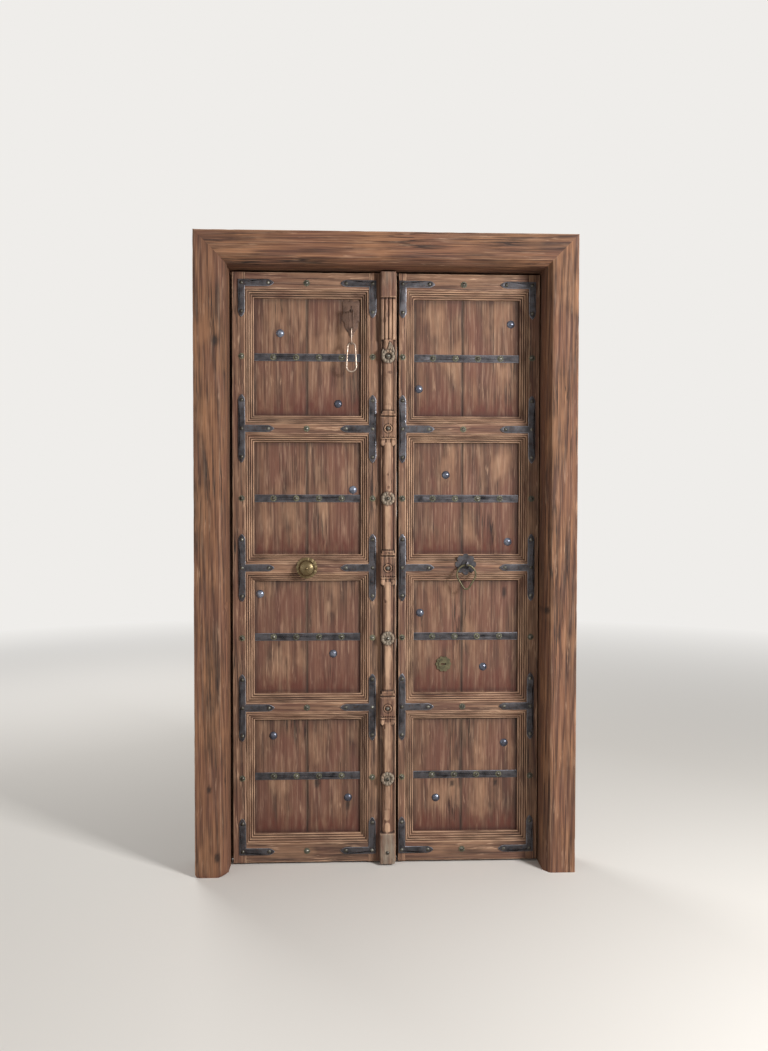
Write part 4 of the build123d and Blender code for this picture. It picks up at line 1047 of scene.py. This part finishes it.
def strip_wear(height, x, z, bottom, top, flowers):
    """Where the strip is rubbed pale, with a painted highlight along the bar's crown; where it is greyed; and
    where it is darkened with painted shade in its hollows and low parts, from 0 to 1.
    """
    flowered = sum((flower_height(x, z - level) > 0) * 1.0 for level in flowers)
    flowered = np.maximum(flowered, leaf_height(x, z - flowers[-1]) > 0)
    smooth = height
    for _ in range(4):
        smooth = sum((np.roll(smooth, step, axis) for axis in (0, 1) for step in (1, -1)), smooth) / 5
    # Painted highlight along the crown of the half-round bar, and wear on the high parts of the flowers, both
    # added to the rubbed places that stand proud
    crown = 0.95 * np.clip((height - 19) / 5, 0, 1) * (height < STRIP_BAR) + 0.5 * flowered * (height > 27)
    proud = np.clip((height - smooth) / 0.9 + crown, 0, 1)
    greyed = 0.2 + 0.8 * flowered + 0.2 * (z > top - TOP_BLOCK) + 0.6 * (z < bottom + BOTTOM_BLOCK)
    # Painted shade: darker in the hollows, on the low parts beside the bar and a little over the reeds
    low_part_shade = 0.85 * np.clip((17 - height) / 6, 0, 1)
    hollow_shade = np.clip((smooth - height) / 1.2 + low_part_shade + 0.25 * reeded_part(z, top), 0, 1)
    return proud, np.clip(greyed, 0, 1), hollow_shade


def cover_strip(context):
    """The carved strip as one dense closed surface, whose two last columns are its back."""
    low, high = box_of("cover_strip")
    face = box_of("left_leaf_middle_rail")[0][1]
    half_width = (high - low)[0] / 2 / MM
    bottom, top = low[2] / MM, high[2] / MM
    blocks = [(b[0][2] + b[1][2]) / 2 / MM for b in (box_of(f"left_leaf_{rail}") for rail in RAILS[1:-1])]
    flowers = [(z0 + z1) / 2 / MM for z0, z1 in panel_levels("left_leaf")]
    x, z = np.meshgrid(
        np.linspace(-half_width, half_width, STRIP_COLUMNS), np.linspace(bottom, top, STRIP_ROWS))
    height = weathered(strip_heights(x, z, half_width, bottom, top, blocks, flowers), x, z)
    front = np.stack([(low[0] + high[0]) / 2 + x * MM, face - height * MM, z * MM], axis=-1)
    back = front[:, [-1, 0]]
    back[..., 1] = face
    points = np.concatenate([front, back], axis=1).reshape(-1, 3)
    wear = strip_wear(height, x, z, bottom, top, flowers)
    edge, greyed, hollow_shade = [np.pad(values, ((0, 0), (0, 2))).ravel() for values in wear]
    shell = {
        "points": points,
        "faces": tube_faces(STRIP_ROWS, STRIP_COLUMNS + 2),
        "grain": points * np.array([1, 0.3, 1]) + 3,
        "edge": edge,
        "dirt": hollow_shade,
    }
    timber_piece(context, shell, "cover_strip", "carved_teak", greyed, "carved")


# Metal pieces

def modify(made, name, kind, **settings):
    """Adds one modifier with its settings."""
    modifier = made.modifiers.new(name, kind)
    for setting, value in settings.items():
        setattr(modifier, setting, value)
    return modifier


def forged(context, node, materials, bevel):
    """A copy of a node's solids, merged, with its edges worn by a narrow bevel, in place of that node."""
    made = placed(f"{node}_forged", frame["nodes"][node].data.copy())
    paint(made.data, materials)
    modify(made, "weld", "WELD", merge_threshold=WELD * MM)
    modify(made, "worn edges", "BEVEL", width=bevel, segments=2, limit_method="ANGLE",
           angle_limit=math.radians(35), material=len(materials) - 1, use_clamp_overlap=True)
    stand_in(as_mesh(context, made, 30), node)


def as_mesh(context, made, sharp):
    """An object with its modifiers worked into a plain mesh."""
    context.view_layer.update()
    evaluated = made.evaluated_get(context.evaluated_depsgraph_get())
    mesh = bpy.data.meshes.new_from_object(evaluated)
    made.modifiers.clear()
    made.data = mesh
    shade(mesh, sharp)
    return made


def ring(count, radius, level):
    """A ring of points about Y, whose radius and place along Y are given by each point's turn."""
    turns = [2 * math.pi * number / count for number in range(count)]
    return [(radius(turn) * math.cos(turn), level(turn), radius(turn) * math.sin(turn)) for turn in turns]


def spun(rows):
    """A closed shell from rings of points: a ring of one point is a pole, and a wider last one is capped."""
    starts = np.cumsum([0] + [len(row) for row in rows]).tolist()
    places = [range(start, end) for start, end in zip(starts, starts[1:])]
    segments = max(len(row) for row in rows)
    faces = []
    for before, after in zip(places, places[1:]):
        for number in range(segments):
            following = (number + 1) % segments
            corners = (before[number % len(before)], after[number % len(after)],
                       after[following % len(after)], before[following % len(before)])
            faces.append(list(dict.fromkeys(corners)))
    if len(places[-1]) > 1:
        faces.append(list(places[-1])[::-1])
    return {"points": np.array(sum(rows, []), float), "faces": faces}


def lathe(profile, segments, squash=lambda turn: 1):
    """A closed turned shell about Y from (radius, y) points that start and end on the axis."""
    return spun([
        ring(segments if radius > 0 else 1, lambda turn: radius * squash(turn), lambda turn: y)
        for radius, y in profile])


def disc(reach, height, back, segments, rings):
    """A closed petalled disc about Y: reach(turn) is its radius, height(share, turn) stands out to -Y."""
    rows = [[(0, -height(0.0, 0.0), 0)]]
    for number in range(1, rings + 1):
        share = number / rings
        rows.append(ring(segments, lambda turn: reach(turn) * share, lambda turn: -height(share, turn)))
    return spun(rows + [ring(segments, reach, lambda turn: -back)])


def spots_of(node):
    """Place of each separate solid of a node: the middle in X and Z, and its front in Y."""
    mesh = frame["nodes"][node].data
    points = np.array([v.co for v in mesh.vertices], float)
    keys = {}
    rounded = np.round(points / (WELD * MM)).astype(int).tolist()
    weld = [keys.setdefault(tuple(point), len(keys)) for point in rounded]
    parent = list(range(len(keys)))

    def root(item):
        while parent[item] != item:
            parent[item] = parent[parent[item]]
            item = parent[item]
        return item

    for edge in mesh.edges:
        parent[root(weld[edge.vertices[0]])] = root(weld[edge.vertices[1]])
    groups = {}
    for number, key in enumerate(weld):
        groups.setdefault(root(key), []).append(number)
    boxes = [(points[members].min(axis=0), points[members].max(axis=0)) for members in groups.values()]
    spots = [((low[0] + high[0]) / 2, low[1], (low[2] + high[2]) / 2) for low, high in boxes]
    return sorted((round(x, 6), round(y, 6), round(z, 6)) for x, y, z in spots)


def radius_of(node):
    """Radius of the round solids of a node, from the one furthest left."""
    return min(spots_of(node))[0] - box_of(node)[0][0]


def stud_tree():
    """Geometry nodes that set a stud on each point, turned and sized at random, and paint it."""
    tree = bpy.data.node_groups.get("set_studs")
    if tree:
        return tree
    tree = bpy.data.node_groups.new("set_studs", "GeometryNodeTree")
    inputs = {"Geometry": "Geometry", "Stud": "Object", "Turn": "Float", "Least size": "Float", "Seed": "Int",
              "Material": "Material"}
    for name, kind in inputs.items():
        tree.interface.new_socket(name, in_out="INPUT", socket_type=f"NodeSocket{kind}")
    tree.interface.new_socket("Geometry", in_out="OUTPUT", socket_type="NodeSocketGeometry")
    given = add(tree, "NodeGroupInput", out=None)
    seed = given["Seed"]
    stud = add(tree, "GeometryNodeObjectInfo", {"Object": given["Stud"]}, out="Geometry")
    back = add(tree, "ShaderNodeMath", {0: given["Turn"], 1: -1.0}, operation="MULTIPLY")
    least, most = [add(tree, "ShaderNodeCombineXYZ", {1: turn}) for turn in (back, given["Turn"])]
    turn = add(tree, "FunctionNodeRandomValue", {0: least, 1: most, "Seed": seed}, data_type="FLOAT_VECTOR")
    size, tone = [
        add(tree, "FunctionNodeRandomValue", {2: low, 3: 1.0, "Seed": seed}, out=1, data_type="FLOAT")
        for low in (given["Least size"], 0.0)]
    spread = add(tree, "GeometryNodeInstanceOnPoints", {
        "Points": given["Geometry"], "Instance": stud, "Rotation": turn, "Scale": size})
    toned = add(tree, "GeometryNodeStoreNamedAttribute", {"Geometry": spread, "Name": "tone", "Value": tone},
                data_type="FLOAT", domain="INSTANCE")
    whole = add(tree, "GeometryNodeRealizeInstances", {0: toned})
    painted = add(tree, "GeometryNodeSetMaterial", {"Geometry": whole, "Material": given["Material"]})
    add(tree, "NodeGroupOutput", {0: painted}, out=None)
    return tree


def studs(context, node, stud, material, least=1.0, sharp=40):
    """Copies of one small piece at every solid of a node, in place of that node."""
    template = mesh_object(f"{node}_stud", stud, [material], sharp)
    points = mesh_object(f"{node}_set", {"points": np.array(spots_of(node)), "faces": []}, [])
    tree = stud_tree()
    modifier = modify(points, "studs", "NODES", node_group=tree)
    values = {"Stud": template, "Turn": math.pi, "Least size": least, "Seed": seed_of(node) % 1000,
              "Material": material}
    for item in tree.interface.items_tree:
        if item.in_out == "INPUT" and item.name in values:
            modifier[item.identifier] = values[item.name]
    made = as_mesh(context, points, sharp)
    bpy.data.objects.remove(template)
    stand_in(made, node)


def dome(radius, height, shares):
    """Profile of a domed head from its crown at y = 0, with a point at each share of its radius."""
    ball = (radius**2 + height**2) / (2 * height)
    return [(0, 0)] + [(radius * share, ball - math.sqrt(ball**2 - (radius * share)**2)) for share in shares]


def nail_stud(radius, length):
    """A hammered nail: a dome of a few facets on a shank, with its crown at y = 0."""
    height, shank, tip = NAIL_HEAD * MM, NAIL_SHANK * MM, (NAIL_HEAD + length) * MM
    profile = dome(radius, height, (0.35, 0.7, 0.92))
    profile += [(radius, height - 0.5 * MM), (radius * 0.96, height), (shank, height),
                (shank, tip - NAIL_POINT * MM), (0, tip)]
    return lathe(profile, NAIL_FACETS, lambda turn: 1 + 0.04 * math.cos(3 * turn + 1))


def rosette_stud(radius):
    """Rosette washer with rounded petals and a raised middle, its front at y = 0."""
    thickness = WASHER_THICKNESS * MM

    def reach(turn):
        return radius * (0.86 + 0.14 * abs(math.cos(WASHER_PETALS / 2 * turn)))

    def height(share, turn):
        petal = abs(math.cos(WASHER_PETALS / 2 * turn)) ** 0.7
        return thickness * (0.35 + 0.65 * petal * math.sin(math.pi * min(1, share * 0.95)) ** 0.6) - thickness

    return disc(reach, height, -thickness, 32, 4)


def bolt_stud(radius):
    """Domed bolt with rolled threads at its tail, its crown at y = 0."""
    height, shank, tip = BOLT_HEAD * MM, BOLT_SHANK * MM, BOLT_LENGTH * MM
    profile = dome(radius, height, [math.sin(part / 8 * math.pi / 2) * 0.985 for part in range(1, 9)])
    profile += [(radius, height - 0.4 * MM), (radius * 0.98, height), (shank, height)]
    pitch = THREAD_PITCH * MM
    start = tip - THREAD_TURNS * pitch
    profile.append((shank, start))
    for number in range(THREAD_TURNS):
        profile += [(shank * 0.86, start + (number + 0.5) * pitch), (shank, start + (number + 0.9) * pitch)]
    return lathe(profile + [(shank * 0.85, tip), (0, tip)], 28)


def screw_stud(radius):
    """Countersunk screw seen from its slotted head, which faces +Y, its tip at y = 0."""
    shank, length = SCREW_SHANK * MM, SCREW_LENGTH * MM
    profile = [(0, 0), (shank, 2 * MM), (shank, length - (radius - shank)), (radius, length),
               (radius * 0.5, length), (0, length)]
    shell = lathe(profile, 24)
    points = shell["points"]
    slot = (np.abs(points[:, 2]) < 0.256 * radius) & (points[:, 1] > length - 0.1 * MM)
    points[slot, 1] -= SLOT_DEPTH * MM
    return shell


KNOB_NECK = 10
KNOB_TIP = 5
KNOB_STUD = 4
ROSE_PETALS = 12


def knob(brass):
    """Turned knob and the petalled rose under it."""
    low, high = box_of("pull_knob")
    rose_low, rose_high = box_of("knob_rose")
    centre = np.array([(low[0] + high[0]) / 2, rose_high[1], (low[2] + high[2]) / 2])
    height = rose_high[1] - rose_low[1]
    profile = knob_profile((high[0] - low[0]) / 2, low[1] - centre[1], -height, high[1] - centre[1])
    rose = rose_disc((rose_high[0] - rose_low[0]) / 2, height)
    for node, shell in (("pull_knob", lathe(profile, 48)), ("knob_rose", rose)):
        shell["points"] = shell["points"] + centre
        stand_in(mesh_object(f"{node}_worn", shell, [brass], 50), node)


def knob_profile(radius, tip, base, end):
    """(radius, y) points of the knob from its ball tip, over its dome and neck, to its stud."""
    neck, ball, stud = KNOB_NECK * MM, KNOB_TIP * MM, KNOB_STUD * MM
    shoulder = base - 4 * MM
    widest = (tip + ball + shoulder) / 2
    profile = [
        (0, tip), (0.55 * ball, tip + 0.3 * MM), (0.85 * ball, tip + 2 * MM), (0.95 * ball, tip + ball)]
    for part in range(1, 11):
        turn = part / 10 * math.pi / 2
        reach = ball + (radius - ball) * math.sin(turn)
        profile.append((reach, widest - (widest - tip - ball) * math.cos(turn)))
    for part in range(1, 8):
        turn = part / 7 * math.pi / 2
        reach = neck + (radius - neck) * math.cos(turn)
        profile.append((reach, widest + (shoulder - 2 * MM - widest) * math.sin(turn)))
    return profile + [(neck, shoulder), (1.4 * neck, base), (stud, base), (stud, end), (0, end)]


def rose_disc(radius, height):
    """Rose of rounded petals that rises to a rolled collar round the knob."""
    def reach(turn):
        return radius * (0.95 + 0.05 * abs(math.cos(ROSE_PETALS / 2 * turn)) ** 0.8)

    def stands(share, turn):
        petal = abs(math.cos(ROSE_PETALS / 2 * turn)) ** 0.5
        outer = max(0, (share - 0.55) / 0.45)
        return height * (1 - 0.62 * outer**1.5) - 0.9 * MM * (1 - petal) * min(1, 3 * outer)

    return disc(reach, stands, 0, 96, 10)


# Operators

class DOOR_OT_frame_timbers(bpy.types.Operator):
    """Ages the two jambs and the head of the frame"""

    bl_idname = "door.frame_timbers"
    bl_label = "Frame timbers"

    def execute(self, context):
        jamb(context, -1)
        jamb(context, 1)
        head(context)
        colours = chosen(context.scene.door_timber, ("frame_body", "frame_light"))
        dress("corner_tongues", finish_of("beech_tongue", beech_material, *colours))
        return {"FINISHED"}


class DOOR_OT_leaf_timbers(bpy.types.Operator):
    """Ages the stiles, rails, planks and backing boards of both leaves"""

    bl_idname = "door.leaf_timbers"
    bl_label = "Leaf timbers"

    def execute(self, context):
        for leaf in LEAVES:
            levels = panel_levels(leaf)
            sides = panel_sides(leaf)
            for name in ("hanging_stile", "meeting_stile") + RAILS:
                joinery(context, leaf, name, levels, sides)
            for name in ("outer_plank", "inner_plank"):
                plank(context, leaf, name, levels, sides)
            backing(context, leaf)
        return {"FINISHED"}


class DOOR_OT_cover_strip(bpy.types.Operator):
    """Carves the strip that covers the meeting stile"""

    bl_idname = "door.cover_strip"
    bl_label = "Carved cover strip"

    def execute(self, context):
        cover_strip(context)
        return {"FINISHED"}


class DOOR_OT_straps(bpy.types.Operator):
    """Wears the edges of the iron straps and finishes the hinge plates"""

    bl_idname = "door.straps"
    bl_label = "Iron straps"

    def execute(self, context):
        bevel = context.scene.door_metal.strap_bevel
        iron, rubbed = metal_finish(context, "forged_iron"), metal_finish(context, "rubbed_iron")
        for leaf in LEAVES:
            for name in ("hanging_straps", "meeting_straps", "panel_straps"):
                forged(context, f"{leaf}_{name}", [iron, rubbed], bevel)
            dress(f"{leaf}_hinge_plates", iron)
        forged(context, "chain_plate", [metal_finish(context, "rusted_iron"), rubbed], bevel / 2)
        dress("frame_hinge_plates", iron)
        dress("hinge_pins", rubbed)
        return {"FINISHED"}


class DOOR_OT_fixings(bpy.types.Operator):
    """Sets the nails, washers, coach bolts and screws"""

    bl_idname = "door.fixings"
    bl_label = "Nails, bolts and screws"

    def execute(self, context):
        spread = context.scene.door_metal.nail_spread
        head_radius = radius_of("cover_strip_nails")
        nail = nail_stud(head_radius, NAIL_LENGTH)
        washer = rosette_stud(radius_of("left_leaf_nail_washers"))
        bolt = bolt_stud(radius_of("left_leaf_coach_bolts"))
        screw = screw_stud(radius_of("frame_hinge_screws"))
        kinds = ("nail_iron", "domed_iron", "tarnished_bronze", "dull_zinc")
        iron, domed, bronze, zinc = [metal_finish(context, kind) for kind in kinds]
        for leaf in LEAVES:
            studs(context, f"{leaf}_nails", nail, iron, spread)
            studs(context, f"{leaf}_nail_washers", washer, bronze, LEAST_WASHER)
            studs(context, f"{leaf}_coach_bolts", bolt, domed)
            studs(context, f"{leaf}_hinge_screws", screw, iron)
            dress(f"{leaf}_bolt_washers", zinc)
            dress(f"{leaf}_nuts", zinc)
        studs(context, "cover_strip_nails", nail_stud(head_radius, STRIP_NAIL_LENGTH), iron, spread)
        studs(context, "frame_hinge_screws", screw, iron)
        return {"FINISHED"}


class DOOR_OT_fittings(bpy.types.Operator):
    """Finishes the knob, the chain, the ring pull and the rosette"""

    bl_idname = "door.fittings"
    bl_label = "Knob, chain and ring"

    def execute(self, context):
        knob(metal_finish(context, "old_brass"))
        finishes = {
            "slot_rosette": "green_brass",
            "pull_ring": "green_brass",
            "ring_boss": "forged_iron",
            "chain_staple": "rusted_iron",
            "hook_link": "rusted_iron",
            "oblong_link": "bright_wire",
            "end_link": "bright_wire",
        }
        for node, kind in finishes.items():
            dress(node, metal_finish(context, kind))
        return {"FINISHED"}


class DOOR_OT_stage(bpy.types.Operator):
    """Sets the floor, the surroundings, the lights and the camera"""

    bl_idname = "door.stage"
    bl_label = "Stage"

    def execute(self, context):
        settings = context.scene.door_stage
        floor(settings)
        surroundings(context, settings)
        for name, (place, target, size) in LAMPS.items():
            lamp(name, place, target, size, getattr(settings, f"{name}_power"))
        camera(context)
        context.scene.view_settings.view_transform = "Standard"
        return {"FINISHED"}


def floor(settings):
    """A wide pale floor under the door."""
    corners = [(-1, -1, 0), (1, -1, 0), (1, 1, 0), (-1, 1, 0)]
    shell = {"points": FLOOR_REACH * np.array(corners, float), "faces": [[0, 1, 2, 3]]}
    material = finish_of("painted_floor", floor_material, tuple(settings.floor), tuple(settings.backdrop))
    mesh_object("floor", shell, [material])


def surroundings(context, settings):
    """An even pale world, which the camera and reflections see at its own colour."""
    world = bpy.data.worlds.new("pale_room")
    context.scene.world = world
    world.use_nodes = True
    tree = world.node_tree
    strength = add(tree, "ShaderNodeMapRange", {
        "Value": looked_at(tree), "To Min": settings.sky, "To Max": 1.0})
    light = tree.nodes["Background"]
    light.inputs["Color"].default_value = tuple(settings.backdrop)
    tree.links.new(strength, light.inputs["Strength"])


def lamp(name, place, target, size, power):
    """A square soft light aimed at a point."""
    light = bpy.data.lights.new(name, "AREA")
    light.size = size
    light.energy = power
    turn = (Vector(target) - Vector(place)).to_track_quat("-Z", "Y")
    placed(name, light).matrix_world = Matrix.Translation(place) @ turn.to_matrix().to_4x4()


def camera(context):
    """The photograph's camera."""
    yaw, pitch, roll = (math.radians(a) for a in (CAMERA_YAW, CAMERA_PITCH, CAMERA_ROLL))
    forward = Vector((math.sin(yaw) * math.cos(pitch), math.cos(yaw) * math.cos(pitch), math.sin(pitch)))
    level = Vector((math.cos(yaw), -math.sin(yaw), 0))
    upright = level.cross(forward)
    right = level * math.cos(roll) + upright * math.sin(roll)
    up = upright * math.cos(roll) - level * math.sin(roll)
    view = bpy.data.cameras.new("photo_camera")
    view.sensor_fit = "HORIZONTAL"
    view.sensor_width = SENSOR_WIDTH
    view.lens = CAMERA_LENS
    made = placed("photo_camera", view)
    turn = Matrix((right, up, -forward)).transposed().to_4x4()
    made.matrix_world = Matrix.Translation(CAMERA_PLACE) @ turn
    context.scene.camera = made


class DOOR_PT_panel(bpy.types.Panel):
    """Lists the steps that dress the door"""

    bl_idname = "DOOR_PT_panel"
    bl_label = "Old door"
    bl_space_type = "VIEW_3D"
    bl_region_type = "UI"
    bl_category = "Old door"

    def draw(self, context):
        for step in STEPS:
            self.layout.operator(step.bl_idname)
        for group in (context.scene.door_timber, context.scene.door_metal, context.scene.door_stage):
            column = self.layout.column()
            for name in group.bl_rna.properties.keys():
                if name not in ("name", "rna_type"):
                    column.prop(group, name)


SETTINGS = {
    "door_timber": DoorTimberSettings,
    "door_metal": DoorMetalSettings,
    "door_stage": DoorStageSettings,
}
STEPS = (
    DOOR_OT_frame_timbers,
    DOOR_OT_leaf_timbers,
    DOOR_OT_cover_strip,
    DOOR_OT_straps,
    DOOR_OT_fixings,
    DOOR_OT_fittings,
    DOOR_OT_stage,
)


def register():
    """Registers the settings, the steps and the panel."""
    for name, group in SETTINGS.items():
        bpy.utils.register_class(group)
        setattr(bpy.types.Scene, name, bpy.props.PointerProperty(type=group))
    for step in STEPS:
        bpy.utils.register_class(step)
    bpy.utils.register_class(DOOR_PT_panel)


def unregister():
    """Takes away what register added."""
    bpy.utils.unregister_class(DOOR_PT_panel)
    for step in reversed(STEPS):
        bpy.utils.unregister_class(step)
    for name, group in SETTINGS.items():
        delattr(bpy.types.Scene, name)
        bpy.utils.unregister_class(group)


def main():
    """Dresses the door step by step."""
    register()
    for step in STEPS:
        group, name = step.bl_idname.split(".")
        getattr(getattr(bpy.ops, group), name)()


if __name__ == "__main__":
    main()
